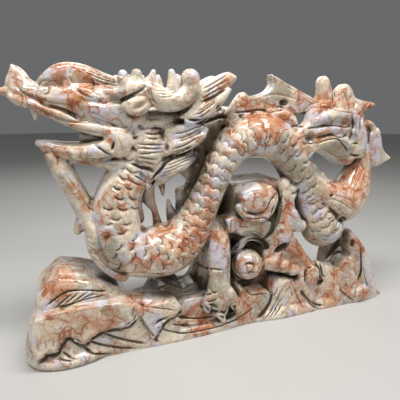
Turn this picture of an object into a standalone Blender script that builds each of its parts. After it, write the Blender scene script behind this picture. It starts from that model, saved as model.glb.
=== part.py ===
"""Carved quartz dragon on a base of waves: one stone, pierced right through.

The dragon looks to the left (-X). Its neck comes down behind the open jaws, the body sweeps along the
base, rises, arches over and turns back up as the tail. Metres, +Z up, standing on its underside, with
the origin under the middle of the stone.
"""
import math

import bmesh
import bpy
from mathutils import Vector

# Overall sizes.
carving_length = 0.415
carving_height = 0.266
carving_depth = 0.092

# Dragon.
belly_thickness = 0.052
tail_thickness = 0.034
snout_thickness = 0.040
jaw_thickness = 0.016
ear_length = 0.030
antler_thickness = 0.017
lock_width = 0.025
leg_thickness = 0.026
claw_thickness = 0.014
beard_thickness = 0.016

# Cloud, fin and base.
fin_thickness = 0.016
cloud_thickness = 0.040
web_thickness = 0.012
pearl_diameter = 0.033
shell_thickness = 0.030
ridge_thickness = 0.020
shoulder_height = 0.084
base_height = 0.047
foam_step = 0.004

# How finely the surface is kept.
surface_step = 0.0021
surface_faces = 9400

# The routes and outlines below are drawn on a stone 415 long, 266 high and 92 deep, and each place on
# them is a share of the real length, height and depth.
along = carving_length / 415
upward = carving_height / 266
across = carving_depth / 92
middle_of_head = -4


def place(x, y, z):
    return Vector((x * along, y * across, z * upward))


def smooth_route(points, steps):
    """Points on a curve through all the given ones (Catmull-Rom), each a tuple of the same length."""
    route = []
    last = len(points) - 1
    for i in range(last):
        a, b = points[max(i - 1, 0)], points[i]
        c, d = points[i + 1], points[min(i + 2, last)]
        for k in range(steps):
            t = k / steps
            route.append([0.5 * (2 * q + (r - p) * t + (2 * p - 5 * q + 4 * r - s) * t * t
                                 + (3 * q - p - 3 * r + s) * t * t * t)
                          for p, q, r, s in zip(a, b, c, d)])
    route.append(list(points[-1]))
    return route


def add_rings(mesh, rings, first_tip, last_tip):
    """Skin a row of rings and close each end to a point."""
    rows = [[mesh.verts.new(p) for p in ring] for ring in rings]
    count = len(rows[0])
    for lower, upper in zip(rows, rows[1:]):
        for i in range(count):
            j = (i + 1) % count
            mesh.faces.new((lower[i], lower[j], upper[j], upper[i]))
    for row, tip, turn in ((rows[0], first_tip, 1), (rows[-1], last_tip, -1)):
        point = mesh.verts.new(tip)
        for i in range(count):
            j = (i + 1) % count
            mesh.faces.new((point, row[j], row[i]) if turn > 0 else (point, row[i], row[j]))


def rope(mesh, points, thickness, flat=1.0, sides=14, steps=5):
    """A limb along a route of (x, y, z, share of the thickness), flat times as deep as it is wide."""
    route = smooth_route(points, steps)
    centres = [place(*p[:3]) for p in route]
    radii = [max(p[3], 0.02) * thickness / 2 for p in route]
    tangents = []
    for i in range(len(centres)):
        step = centres[min(i + 1, len(centres) - 1)] - centres[max(i - 1, 0)]
        tangents.append(step.normalized())
    rings = []

    def ring(centre, tangent, radius):
        wide = tangent.cross(Vector((0, 1, 0))).normalized()
        deep = wide.cross(tangent).normalized()
        return [centre + (wide * math.cos(2 * math.pi * k / sides)
                          + deep * (math.sin(2 * math.pi * k / sides) * flat)) * radius
                for k in range(sides)]

    caps = (60, 30)
    for angle in caps:
        turn = math.radians(angle)
        rings.append(ring(centres[0] - tangents[0] * radii[0] * math.sin(turn), tangents[0],
                          radii[0] * math.cos(turn)))
    for centre, tangent, radius in zip(centres, tangents, radii):
        rings.append(ring(centre, tangent, radius))
    for angle in reversed(caps):
        turn = math.radians(angle)
        rings.append(ring(centres[-1] + tangents[-1] * radii[-1] * math.sin(turn), tangents[-1],
                          radii[-1] * math.cos(turn)))
    add_rings(mesh, rings, centres[0] - tangents[0] * radii[0], centres[-1] + tangents[-1] * radii[-1])


def ball(mesh, centre, diameter, shares=(1, 1, 1)):
    """A round boss, its diameter times a share in each direction."""
    made = bmesh.ops.create_uvsphere(mesh, u_segments=18, v_segments=12, radius=diameter / 2)
    middle = place(*centre)
    for vert in made["verts"]:
        vert.co = Vector([c * s for c, s in zip(vert.co, shares)]) + middle


def plate(mesh, outline, front, back, rounding, lying=False, steps=3):
    """A slab from one depth to another (or from a low to a high level if it is lying), edges rounded."""
    loop = smooth_route(list(outline) + [outline[0]], steps)[:-1]
    flat = [place(a, b, 0) if lying else place(a, 0, b) for a, b in loop]
    through = Vector((0, 0, 1)) if lying else Vector((0, 1, 0))
    count = len(flat)
    ahead = [(flat[(i + 1) % count] - flat[i - 1]).normalized() for i in range(count)]
    turning = sum((flat[(i + 1) % count] - flat[0]).cross(flat[i] - flat[0]).dot(through)
                  for i in range(count))
    inward = [through.cross(step) * (-1 if turning > 0 else 1) for step in ahead]
    rounding = min(rounding, abs(back - front) / 2.2)
    # Each ring is set in by one share of the rounding and sunk below the face by the other.
    profile = ((1.0, 0.0), (0.29, 0.29), (0.0, 1.0))
    rings = [[p + n * (rounding * inset) + through * (front + rounding * sunk)
              for p, n in zip(flat, inward)] for inset, sunk in profile]
    rings += [[p + n * (rounding * inset) + through * (back - rounding * sunk)
               for p, n in zip(flat, inward)] for inset, sunk in reversed(profile)]
    rows = [[mesh.verts.new(p) for p in ring] for ring in rings]
    for lower, upper in zip(rows, rows[1:]):
        for i in range(count):
            j = (i + 1) % count
            mesh.faces.new((lower[i], lower[j], upper[j], upper[i]))
    mesh.faces.new(list(reversed(rows[0])))
    mesh.faces.new(rows[-1])


def on_both_sides(build, mesh, points, *sizes, **more):
    """The same form on the near and on the far side of the head."""
    build(mesh, points, *sizes, **more)
    build(mesh, [(x, 2 * middle_of_head - y, z, *rest) for x, y, z, *rest in points], *sizes, **more)


def carve_head(mesh):
    # Muzzle and skull, the nose spike and the brow that runs back into fluted hair.
    rope(mesh, [(-202, -4, 244, 0.10), (-194, -4, 243.5, 0.24), (-184, -4, 243, 0.42), (-170, -4, 240, 0.60),
                (-154, -4, 238, 0.80), (-138, -4, 236, 1.0), (-118, -4, 230, 1.12), (-96, -4, 221, 1.05)],
         snout_thickness, flat=1.28)
    rope(mesh, [(-183, -4, 245, 0.68), (-185, -4, 251, 0.54), (-185.8, -4, 257, 0.40),
                (-187.2, -4, 261.4, 0.24), (-188.3, -4, 263.6, 0.1)], snout_thickness, flat=0.75)
    rope(mesh, [(-168, -4, 246, 0.34), (-158, -4, 253.5, 0.48), (-148, -4, 255, 0.54),
                (-134, -4, 254.5, 0.54), (-118, -4, 251, 0.52), (-104, -4, 248.5, 0.40),
                (-97, -4, 248, 0.20)], snout_thickness, flat=1.7)
    on_both_sides(rope, mesh, [(-163, -11, 251, 0.36), (-152, -13, 257.5, 0.44), (-138, -14, 258.5, 0.44),
                               (-122, -15, 253.5, 0.42), (-108, -15, 249, 0.3)], snout_thickness)
    # Lips and teeth.
    on_both_sides(rope, mesh, [(-191, -10, 239.5, 0.16), (-178, -14, 234, 0.2), (-162, -19, 227, 0.24),
                               (-145, -23, 219, 0.26), (-128, -26, 213, 0.28), (-108, -27, 209, 0.26)],
                  snout_thickness)
    for x, top, tip, size in ((-183, 236, 230.5, 0.16), (-174, 232, 221, 0.22), (-165.5, 229, 223, 0.18)):
        on_both_sides(rope, mesh, [(x, -13, top, size), (x, -13, (top + tip) / 2, size * 0.75),
                                   (x - 0.5, -13, tip, size * 0.25)], snout_thickness)
    # Lower jaw, the throat behind the open mouth and the chin bumps.
    on_both_sides(rope, mesh, [(-175, -8, 201, 0.32), (-167, -11, 198.5, 0.58), (-152, -16, 194, 0.85),
                               (-136, -21, 193, 1.0), (-118, -25, 196, 1.15)], jaw_thickness)
    rope(mesh, [(-170, -4, 197, 0.5), (-155, -4, 193, 0.8), (-130, -4, 192, 1.1)], jaw_thickness, flat=2.0)
    rope(mesh, [(-134, -4, 204, 0.9), (-122, -4, 204, 1.6), (-104, -4, 204, 2.2)], jaw_thickness, flat=1.3)
    rope(mesh, [(-164.5, -8, 189, 0.8), (-161, -8, 182, 0.9), (-158, -8, 175, 1.0)], jaw_thickness, flat=1.6)
    on_both_sides(rope, mesh, [(-162, -10, 182, 0.42), (-150, -12, 185, 0.42), (-135, -17, 185, 0.5),
                               (-118, -20, 182, 0.75), (-103, -20, 178, 1.1)], jaw_thickness)
    # Eyes, cheeks, jowls under the fluted hair, and the ears.
    for y in (-19, 2 * middle_of_head + 19):
        ball(mesh, (-147.5, y, 250), snout_thickness, (0.28, 0.22, 0.28))
    for y in (-26, 2 * middle_of_head + 26):
        ball(mesh, (-108, y, 202), snout_thickness, (0.68, 0.45, 0.74))
        ball(mesh, (-83, y * 0.6, 194), snout_thickness, (0.92, 1.0, 1.25))
    on_both_sides(rope, mesh, [(-106, -31, 230, 0.22), (-98, -33, 231, 0.5), (-89, -34, 233, 0.56),
                               (-82, -34, 240, 0.32), (-78.5, -33, 245, 0.1)], ear_length, flat=0.5)


def carve_antlers(mesh):
    size = antler_thickness
    on_both_sides(rope, mesh, [(-124, -20, 243, 0.60), (-108, -25, 242, 0.80), (-92, -28, 246, 1.05),
                               (-78, -29, 243, 1.12), (-65, -30, 236.5, 1.14), (-52, -30, 238, 1.05),
                               (-43.5, -29, 246, 1.0), (-42, -28, 256, 1.05)], size)
    for tine in ([(-100, -28, 248, 0.7), (-102, -28, 254, 0.62), (-102, -28, 257.5, 0.52)],
                 [(-92, -28, 250, 0.8), (-91, -28, 255, 0.7), (-90.5, -28, 258, 0.6)],
                 [(-83, -29, 248, 0.75), (-78, -29, 255, 0.5), (-75.8, -29, 260.5, 0.3)],
                 [(-60, -30, 242, 0.8), (-59, -30, 252, 0.6), (-60, -30, 260.5, 0.4)]):
        on_both_sides(rope, mesh, tine, size)


def carve_mane(mesh):
    # The locks fan out to the right; the core joins them to the neck and to the web behind.
    for core in ([(-96, -4, 214, 1.3), (-70, -4, 216, 1.3), (-50, -3, 226, 1.1), (-30, -1, 236, 0.6)],
                 [(-92, -4, 196, 1.5), (-70, -3, 197, 1.3), (-52, -1, 203, 1.0), (-30, 2, 208, 0.7)],
                 [(-90, -4, 184, 1.2), (-68, -2, 186, 0.8), (-46, 2, 194, 0.6)]):
        rope(mesh, core, lock_width, flat=1.3)
    blades = ([(-33.5, 249.5), (-21.5, 256.5), (-11.5, 261.5), (-5, 263.5), (1, 262), (5, 258.5), (0, 251.5),
               (-4, 248.5), (-9.5, 242), (-15.5, 236), (-19.5, 229), (-26.5, 218.5), (-41, 219), (-53, 222),
               (-46, 230), (-37.5, 240)],
              [(-67, 212), (-59, 215), (-46, 217), (-31.5, 217), (-26.5, 215), (-23.5, 211), (-25.5, 206),
               (-31.5, 200), (-41, 194.5), (-51, 190.5), (-63, 186.5), (-69, 190.5)])
    for blade in blades:
        for front in (-31, 2 * middle_of_head + 15):
            plate(mesh, blade, front * across, (front + 16) * across, lock_width * 0.2)
    for lock in ([(-44, -30, 219, 0.4), (-28, -32, 228, 0.46), (-14, -32, 239, 0.4), (-4.5, -31, 247, 0.18)],
                 [(-72, -24, 194, 0.6), (-56, -29, 196, 0.6), (-41, -31, 201, 0.5), (-30, -31, 205, 0.22)],
                 [(-78, -22, 171, 0.62), (-63, -26, 176, 0.68), (-49, -28, 181, 0.56), (-39, -28, 184, 0.2)],
                 [(-84, -20, 162, 0.42), (-69, -24, 165, 0.36), (-58, -24, 169.5, 0.14)],
                 [(-110, -22, 172, 0.42), (-98, -27, 168, 0.46), (-85, -27, 162, 0.36)],
                 [(-106, -21, 181, 0.42), (-93, -27, 177, 0.5), (-79, -27, 169, 0.38)]):
        on_both_sides(rope, mesh, lock, lock_width, flat=0.62)


def carve_body(mesh):
    # Neck, chest, belly, the rise, the arch and the limb that comes down again to the heel.
    rope(mesh, [(-92, -8, 192, 0.76), (-99, -11, 170, 0.76), (-110, -16, 149, 0.82), (-114, -18, 124, 0.90),
                (-107, -18, 103, 0.96), (-87, -18, 92, 0.96), (-62, -18, 94, 1.0), (-42, -18, 108, 0.82),
                (-29, -18, 130, 0.66), (-17, -18, 154, 0.59), (-6, -18, 177, 0.62), (9, -18, 196, 0.74),
                (31, -18, 203, 0.86), (54, -18, 198, 0.82), (75, -18, 177, 0.73), (91, -18, 149, 0.69),
                (104, -19, 124, 0.72), (122, -21, 98, 0.9)],
         belly_thickness, flat=1.08, sides=20, steps=4)
    # Heel of the turn and the tail that rises from it.
    ball(mesh, (121, -21, 98), tail_thickness, (1.47, 1.3, 1.47))
    rope(mesh, [(98, -23, 150, 0.7), (112, -25, 138, 0.95), (126, -25, 130, 1.15), (143, -24, 126, 1.42),
                (155, -22, 134, 1.34), (163.5, -20, 148, 1.16), (169, -18, 162, 0.94), (170, -15, 178, 0.8),
                (168, -11, 194, 0.6)],
         tail_thickness, sides=16)
    # Beard strip, chest spike and the plated front of the neck.
    rope(mesh, [(-157, -8, 180, 1.20), (-152.5, -8, 167, 1.14), (-147, -8, 155, 1.22), (-141, -10, 140, 1.20),
                (-134, -14, 122, 1.1)], beard_thickness, flat=1.2)
    rope(mesh, [(-122, -10, 146, 0.7), (-130, -10, 145, 0.6), (-138, -10, 147, 0.6)],
         beard_thickness, flat=1.5)
    rope(mesh, [(-134, -10, 130, 1.0), (-143, -10, 127, 0.92), (-148.5, -10, 119, 0.5)],
         beard_thickness, flat=1.4)
    rope(mesh, [(-134, -15, 124, 1.05), (-134, -17, 104, 1.0), (-126, -18, 88, 1.0), (-112, -18, 76, 1.1)],
         beard_thickness, flat=2.2)


def carve_leg(mesh):
    rope(mesh, [(-14, -20, 112, 0.9), (-13, -26, 98, 1.0), (-12.5, -29, 80, 1.0), (-12, -31, 62, 0.88),
                (-13, -32, 46, 1.0), (-14, -33, 34, 1.1), (-13, -34, 24, 0.8)], leg_thickness, flat=0.85)
    for toe in ([(-20, -36, 44, 1.0), (-28, -38, 35, 0.85), (-28.5, -39, 26, 0.4)],
                [(-14, -38, 36, 1.1), (-15, -40, 24, 0.9), (-11, -41, 13.5, 0.4)],
                [(-4, -36, 42, 1.0), (3, -38, 29, 0.9), (8, -39, 18, 0.4)]):
        rope(mesh, toe, claw_thickness)


def carve_fin_and_cloud(mesh):
    # Fin behind the arch, with the row of flames that follows it.
    middle = -7 * across
    plate(mesh, [(0, 214), (6, 230), (13, 241), (20, 247), (27, 243), (38, 245), (47, 249), (51.5, 256),
                 (50.5, 265), (56, 262.5), (69, 257), (90, 248), (112, 238), (118, 228), (90, 224), (66, 221),
                 (40, 208)],
          middle - fin_thickness / 2, middle + fin_thickness / 2, fin_thickness * 0.3)
    plate(mesh, [(106, 226), (113, 246), (112.5, 259), (117, 265.5), (123, 262), (128, 251), (133, 243),
                 (138, 252), (146, 258), (154, 254), (161, 244), (172, 240.5), (191, 237), (183, 230),
                 (174, 226), (168, 216), (150, 212)],
          middle - fin_thickness / 2, middle + fin_thickness / 2, fin_thickness * 0.3)
    # Draped cloud above the gap on the right, its curl, and the small fin at the far end.
    front = -33 * across
    plate(mesh, [(109, 212), (108, 226), (108, 236), (125, 239), (150, 237), (160, 226), (163, 210),
                 (166, 196), (163, 184), (154, 174), (145, 168), (132, 176), (120, 182), (107, 187),
                 (104, 198)], front, front + cloud_thickness, cloud_thickness * 0.2)
    plate(mesh, [(90, 226), (95, 233), (104, 237), (120, 237), (122, 212), (120, 186), (107, 187), (97, 184),
                 (90, 176), (78, 188), (72, 202), (78, 211), (86, 216)],
          front, front + cloud_thickness * 0.45, cloud_thickness * 0.14)
    for fold in ([(93, -29, 217, 0.26), (108, -30, 222, 0.36), (126, -30, 224, 0.4), (146, -29, 221, 0.36)],
                 [(92, -29, 204, 0.2), (106, -30, 208, 0.3), (124, -30, 210, 0.34), (146, -29, 206, 0.3)],
                 [(94, -28, 192, 0.24), (110, -29, 197, 0.36), (126, -30, 197, 0.4), (142, -29, 191, 0.36)]):
        rope(mesh, fold, cloud_thickness)
    rope(mesh, [(44, -18, 222, 0.3), (57, -20, 224, 0.38), (68, -22, 218, 0.4), (73, -22, 207, 0.34)],
         cloud_thickness)
    rope(mesh, [(147, -29, 222, 0.3), (152, -30, 211, 0.38), (156, -30, 198, 0.42), (157, -29, 184, 0.42)],
         cloud_thickness)
    rope(mesh, [(160, -20, 202, 0.2), (165, -20, 210, 0.2), (172, -20, 214.5, 0.2), (179.5, -20, 212, 0.2),
                (184, -20, 204, 0.22)], cloud_thickness, flat=1.4)
    plate(mesh, [(177, 203), (181, 207), (187, 210), (192, 205), (195, 196), (198, 187), (204, 180),
                 (213, 173.5), (204, 169), (194, 164), (176, 166), (177, 184)],
          -20 * across - web_thickness / 2, -20 * across + web_thickness / 2, web_thickness * 0.3)
    plate(mesh, [(98, 175.5), (106.5, 169.5), (111, 163.5), (117, 161.5), (122, 155), (130, 152), (128, 146),
                 (106, 149), (94, 159.5)],
          -25 * across, -13 * across, web_thickness * 0.2)
    # Web behind the mane and the thin bars left between the drilled holes.
    middle = 4 * across
    plate(mesh, [(-44, 165), (-52, 180), (-54, 192), (-40, 220), (-24, 233), (0, 233), (16, 230), (22, 214),
                 (4, 190), (-14, 162), (-28, 140), (-38, 118), (-48, 118), (-48, 136), (-48, 148), (-38, 152),
                 (-37, 158)],
          middle - web_thickness / 2, middle + web_thickness / 2, web_thickness * 0.3)
    for bar in ([(-96, -2, 166, 1.3), (-92, 0, 150, 1.1), (-91, 0, 138, 1.0), (-89, 0, 122, 1.0)],
                [(-80, 0, 176, 1.6), (-80, 1, 156, 1.5), (-78, 2, 142, 1.2), (-72, 2, 128, 0.6),
                 (-69, 2, 112, 0.9)],
                [(-66, -2, 166, 0.9), (-64, 0, 154, 0.6), (-63, 0, 145, 0.3)],
                [(-57, 2, 138, 0.3), (-56, 2, 130, 0.65), (-53, 2, 120, 1.1), (-50, 2, 108, 1.0)]):
        rope(mesh, bar, web_thickness)


def carve_shell(mesh):
    # Curled shell in the hollow under the arch, with the pearl below it.
    size = shell_thickness
    ball(mesh, (31, -26, 137), size, (1.6, 1, 1.3))
    ball(mesh, (29, -31, 133), size, (1.2, 0.72, 0.8))
    rope(mesh, [(6.5, -34, 134, 0.26), (13, -36, 125.5, 0.3), (24, -36, 120.5, 0.32),
                (35.5, -36, 121.5, 0.32), (43, -36, 129.5, 0.3), (47, -35, 141, 0.28),
                (43, -33, 150.5, 0.22)], size)
    plate(mesh, [(-7, 120.5), (6.5, 123.5), (20, 118.5), (36, 117.5), (47.5, 112.5), (45.5, 102.5), (38, 95),
                 (30, 101), (20, 103.5), (12.5, 101), (6.5, 105.5), (-3, 106.5)],
          -33 * across, -10 * across, size * 0.13)
    rope(mesh, [(15.5, -22, 86.5, 0.26), (21.5, -22, 94, 0.28), (31.5, -22, 95, 0.3), (42, -22, 89.5, 0.28),
                (48, -22, 80.5, 0.24)], size)
    ball(mesh, (22, -27, 66.5), pearl_diameter)
    ball(mesh, (21, -39, 66.5), pearl_diameter, (0.45, 0.45, 0.45))
    plate(mesh, [(2, 124), (3, 142), (8, 154), (20, 157), (45, 158), (60, 156), (74, 138), (78, 116),
                 (76, 96), (60, 90), (40, 90), (14, 98), (4, 108)], -26 * across, 24 * across, size * 0.3)
    plate(mesh, [(-26, 112), (-22, 132), (-10, 152), (8, 156), (14, 140), (12, 112)],
          2 * across, 18 * across, size * 0.13)
    plate(mesh, [(-28, 8), (-28, 40), (-24, 60), (-22, 92), (-10, 107), (10, 106), (50, 100), (76, 98),
                 (84, 82), (91, 68), (100, 54), (108, 42), (110, 8)],
          -12 * across, 26 * across, size * 0.3)


def carve_base(mesh):
    level = base_height / upward
    crown = shoulder_height / upward
    bottom = -4 * upward
    plate(mesh, [(-204, -12), (-199, -28), (-188, -38), (-170, -43), (-150, -42), (-130, -38), (-110, -35),
                 (-80, -34), (0, -34), (100, -34), (130, -35), (148, -39), (165, -44), (180, -44), (193, -40),
                 (202, -33), (208, -20), (208, 4), (201, 32), (186, 43), (150, 45), (0, 46), (-150, 45),
                 (-186, 38), (-203, 18)],
          bottom, base_height * 0.44, carving_depth * 0.1, lying=True)
    rope(mesh, [(-197, -28, 4, 0.5), (-188, -37, 5, 0.6), (-172, -42, 5, 0.62), (-155, -42, 5, 0.62),
                (-138, -38, 5, 0.6), (-120, -33, 4, 0.5)], ridge_thickness)
    rope(mesh, [(-100, -33, 3, 0.8), (-80, -33.5, 3, 0.9), (-56, -34, 3, 0.9), (-20, -33, 3, 0.9),
                (22, -30, 3, 0.9), (62, -34, 3, 0.9), (110, -33, 3, 0.9), (150, -33.5, 3, 0.85),
                (180, -34, 4, 0.8), (196, -28, 5, 0.8), (201, -14, 5, 0.75)], ridge_thickness)
    rope(mesh, [(-72, -16, level - 20, 1.2), (-40, -20, level - 20, 1.3), (10, -22, level - 22, 1.2)],
         ridge_thickness)
    plate(mesh, [(-190, -8), (-198, 14), (-199, 30), (-196, 44), (-189, level + 8), (-176, level + 13),
                 (-150, level + 14), (-120, level + 12), (-95, level + 6), (-66, level), (-61, level - 10),
                 (-62, -8)],
          -41 * across, -14 * across, carving_depth * 0.12)
    plate(mesh, [(-128, 8), (-124, level - 6), (-112, level - 6), (-100, level - 4), (-84, level - 1),
                 (-64, level + 6), (-48, level - 2), (-32, level), (-30, 8)],
          -20 * across, 6 * across, carving_depth * 0.05)
    plate(mesh, [(-188, 26), (-191, crown - 28), (-188, crown - 16), (-180, crown - 8), (-170, crown),
                 (-164, crown), (-150, crown - 3), (-136, crown - 8), (-122, crown - 15), (-113, crown - 26),
                 (-109, 26)],
          -37 * across, 30 * across, carving_depth * 0.15)
    # Rocks at the right end, the fan of grooves and the leaf below the pearl.
    plate(mesh, [(114, level - 30), (115, level - 15), (119, level - 3), (130, level), (142, level - 2),
                 (152, level + 4), (160, level + 13), (170, level + 17), (186, level + 11),
                 (193, level - 4), (196, level - 15), (201, 21), (207, 8), (208, -2), (115, -2)],
          -36 * across, -2 * across, carving_depth * 0.085)
    plate(mesh, [(32, -2), (38, 12), (48, 28), (54, level - 7), (62, level - 1), (74, level - 3),
                 (86, level - 7), (97, level - 9), (114, level - 13), (119, -2)],
          -37 * across, -2 * across, carving_depth * 0.085)
    plate(mesh, [(6, -2), (4, 10), (8, 30), (9, level - 1), (14, level - 4), (21, 37), (32, 35), (46, 33),
                 (45, 22), (40, 12), (34, 2), (32, -2)],
          -39 * across, -10 * across, carving_depth * 0.055)
    # Sheets of foam and the curling wave crest stand out from the front.
    front = -41 * across - foam_step
    back = -31 * across
    plate(mesh, [(-190, level + 6), (-196, 34), (-192, 15), (-188, 16), (-183, 19), (-175, 18), (-171, 26),
                 (-164, 32), (-158, 26), (-151, 21), (-145, 27), (-136, 30), (-124, 31), (-112, 31),
                 (-105, 36), (-101, level), (-112, level + 7), (-130, level + 10), (-170, level + 10)],
          front, back, foam_step * 0.8)
    plate(mesh, [(-100, level - 1), (-80, level + 1), (-63, level), (-60, level - 8), (-66, 32), (-75, 29),
                 (-82, 21), (-87, 10), (-93, 22), (-99, 36)],
          front, back, foam_step * 0.8)
    # Back walls of the hollows under the belly and under the heel.
    plate(mesh, [(-74, 10), (-72, 52), (-66, 74), (-54, 76), (-50, 52), (-42, 43), (-34, 44), (-28, 58),
                 (-24, 88), (-16, 70), (-16, 10)],
          4 * across, 22 * across, web_thickness * 0.4)
    plate(mesh, [(150, 12), (151, 48), (158, 62), (174, 76), (186, 62), (196, 12)],
          -2 * across, 20 * across, web_thickness * 0.3)


def carve_ridges(mesh):
    # Broad ridges that run down the right half of the front, and the smooth band at its end.
    plate(mesh, [(55, 150), (57, 130), (55, 115), (47, 102), (40, 94), (45, 86), (39, 78), (38, 66), (41, 58),
                 (53, 54), (66, 50), (78, 47), (90, 48), (102, 50), (109, 54), (103, 62), (94, 72), (84, 83),
                 (74, 94), (74, 102), (70, 113), (72, 127), (78, 140), (74, 152)],
          -34 * across, -10 * across, ridge_thickness * 0.3)
    for x, z, wide, tall in ((50, 66, 1.2, 0.95), (66, 60, 0.8, 0.85), (78, 54, 0.9, 0.8)):
        ball(mesh, (x, -31, z), ridge_thickness, (wide, 0.8, tall))
    for ridge in ([(62, -27, 152, 0.8), (67, -28, 130, 0.9), (66, -29, 108, 1.0), (66, -29, 91, 1.0),
                   (78, -31, 75, 0.8), (92, -32, 60, 0.7), (102, -33, 46, 0.6)],
                  [(70, -30, 118, 1.0), (78, -30, 107, 0.9), (86, -29, 104, 0.7)],
                  [(89, -33, 58, 0.5), (90, -33, 44, 0.66), (92, -33, 34, 0.7), (97, -33, 20, 0.7),
                   (110, -33, 3, 0.7), (121, -33, -8, 0.6)],
                  [(111, -33, 56, 0.35), (117, -33, 50, 0.4), (120, -33, 40, 0.4), (124, -33, 31, 0.35)],
                  [(128, -26, 43, 1.0), (135, -27, 28, 1.3), (140, -28, 8, 1.4), (140, -28, -8, 1.4)],
                  [(152, -25, 48, 1.1), (160, -27, 32, 1.3), (166, -28, 8, 1.4), (166, -28, -8, 1.4)]):
        rope(mesh, ridge, ridge_thickness)
    plate(mesh, [(91, 37), (91, 56), (98, 58), (108, 52.5), (110, 43), (107, 35), (97, 33)],
          -41 * across, -20 * across, ridge_thickness * 0.15)
    # The back is finished more plainly, with a few broad swells.
    for swell in ([(-186, 26, -8, 1.6), (-178, 28, 18, 1.8), (-160, 26, 44, 1.7), (-138, 22, 62, 1.3)],
                  [(-140, 34, -8, 1.4), (-128, 32, 4, 1.5), (-106, 30, 8, 1.4), (-88, 24, 14, 1.2)],
                  [(-86, 36, -8, 1.4), (-74, 33, 12, 1.5), (-64, 27, 38, 1.3), (-60, 18, 60, 1.2),
                   (-56, 6, 80, 1.1)],
                  [(-36, 36, -8, 1.4), (-22, 33, 18, 1.4), (-4, 28, 54, 1.4), (8, 24, 90, 1.3),
                   (26, 20, 120, 1.3), (44, 18, 140, 1.2)],
                  [(12, 36, -8, 1.4), (24, 33, 18, 1.5), (44, 28, 48, 1.4), (62, 24, 80, 1.3),
                   (64, 20, 112, 1.2)],
                  [(70, 36, -8, 1.3), (82, 32, 14, 1.4), (96, 26, 28, 1.2)],
                  [(120, 36, -8, 1.3), (128, 32, 8, 1.3), (140, 26, 16, 1.2)],
                  [(188, 30, -8, 1.6), (184, 26, 14, 1.6), (176, 18, 36, 1.4), (168, 10, 58, 1.1)]):
        rope(mesh, swell, ridge_thickness)
    rope(mesh, [(157, -24, 84, 0.7), (166, -25, 69, 1.0), (176, -24, 52, 1.2), (183, -23, 31, 1.3),
                (193, -21, 9, 1.4), (195, -21, -8, 1.4)], ridge_thickness, flat=1.5)


def keep_outer_shell(mesh):
    """Drop hollows inside the stone and loose crumbs: only the largest connected skin stays."""
    mesh.verts.ensure_lookup_table()
    seen = set()
    skins = []
    for start in mesh.verts:
        if start in seen:
            continue
        seen.add(start)
        queue, skin = [start], []
        while queue:
            vert = queue.pop()
            skin.append(vert)
            for edge in vert.link_edges:
                other = edge.other_vert(vert)
                if other not in seen:
                    seen.add(other)
                    queue.append(other)
        skins.append(skin)
    skins.sort(key=len)
    for skin in skins[:-1]:
        bmesh.ops.delete(mesh, geom=skin, context="VERTS")


def evaluated_mesh(holder):
    graph = bpy.context.evaluated_depsgraph_get()
    graph.update()
    return bpy.data.meshes.new_from_object(holder.evaluated_get(graph))


def weld_into_one(mesh):
    """Weld all forms into one skin, ease the joins, thin out the faces and cut the underside flat."""
    data = bpy.data.meshes.new("dragon_carving")
    mesh.to_mesh(data)
    mesh.free()
    stone = bpy.data.objects.new("dragon_carving", data)
    bpy.context.scene.collection.objects.link(stone)

    weld = stone.modifiers.new("weld forms", "REMESH")
    weld.mode = "VOXEL"
    weld.voxel_size = surface_step
    weld.adaptivity = 0
    ease = stone.modifiers.new("ease joins", "SMOOTH")
    ease.factor = 0.5
    ease.iterations = 2
    stone.data = evaluated_mesh(stone)
    stone.modifiers.clear()

    whole = bmesh.new()
    whole.from_mesh(stone.data)
    keep_outer_shell(whole)
    bmesh.ops.triangulate(whole, faces=whole.faces)
    share = surface_faces / len(whole.faces)
    whole.to_mesh(stone.data)
    whole.free()

    thin = stone.modifiers.new("thin out", "DECIMATE")
    thin.ratio = share
    stone.data = evaluated_mesh(stone)
    stone.modifiers.clear()

    whole = bmesh.new()
    whole.from_mesh(stone.data)
    everything = list(whole.verts) + list(whole.edges) + list(whole.faces)
    bmesh.ops.bisect_plane(whole, geom=everything, dist=1e-6, plane_co=(0, 0, 0), plane_no=(0, 0, 1),
                           clear_inner=True)
    rim = [edge for edge in whole.edges if edge.is_boundary]
    bmesh.ops.holes_fill(whole, edges=rim, sides=0)
    bmesh.ops.triangulate(whole, faces=[face for face in whole.faces if len(face.verts) > 3])
    bmesh.ops.recalc_face_normals(whole, faces=whole.faces)
    whole.to_mesh(stone.data)
    whole.free()
    stone.data.shade_smooth()
    stone.data.set_sharp_from_angle(angle=math.radians(50))
    return stone


def put_origin_under_middle(stone):
    """Slide the stone so that the middle of its length and depth stands over the origin."""
    verts = stone.data.vertices
    slide = []
    for axis in (0, 1):
        places = [vert.co[axis] for vert in verts]
        slide.append((min(places) + max(places)) / 2)
    for vert in verts:
        vert.co.x -= slide[0]
        vert.co.y -= slide[1]
    return slide


def polished_quartz():
    material = bpy.data.materials.new("polished_quartz")
    material.use_nodes = True
    shader = material.node_tree.nodes["Principled BSDF"]
    shader.inputs["Base Color"].default_value = (0.62, 0.50, 0.41, 1)
    shader.inputs["Roughness"].default_value = 0.22
    shader.inputs["Metallic"].default_value = 0.0
    return material


for old in list(bpy.data.objects):
    bpy.data.objects.remove(old, do_unlink=True)

forms = bmesh.new()
carve_base(forms)
carve_ridges(forms)
carve_shell(forms)
carve_fin_and_cloud(forms)
carve_body(forms)
carve_leg(forms)
carve_mane(forms)
carve_antlers(forms)
carve_head(forms)
bmesh.ops.recalc_face_normals(forms, faces=forms.faces)
dragon = weld_into_one(forms)
slide_to_origin = put_origin_under_middle(dragon)
dragon.data.materials.append(polished_quartz())
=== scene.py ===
import math

import bpy
import numpy as np
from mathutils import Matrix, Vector
from mathutils.bvhtree import BVHTree
from mathutils.kdtree import KDTree


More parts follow.
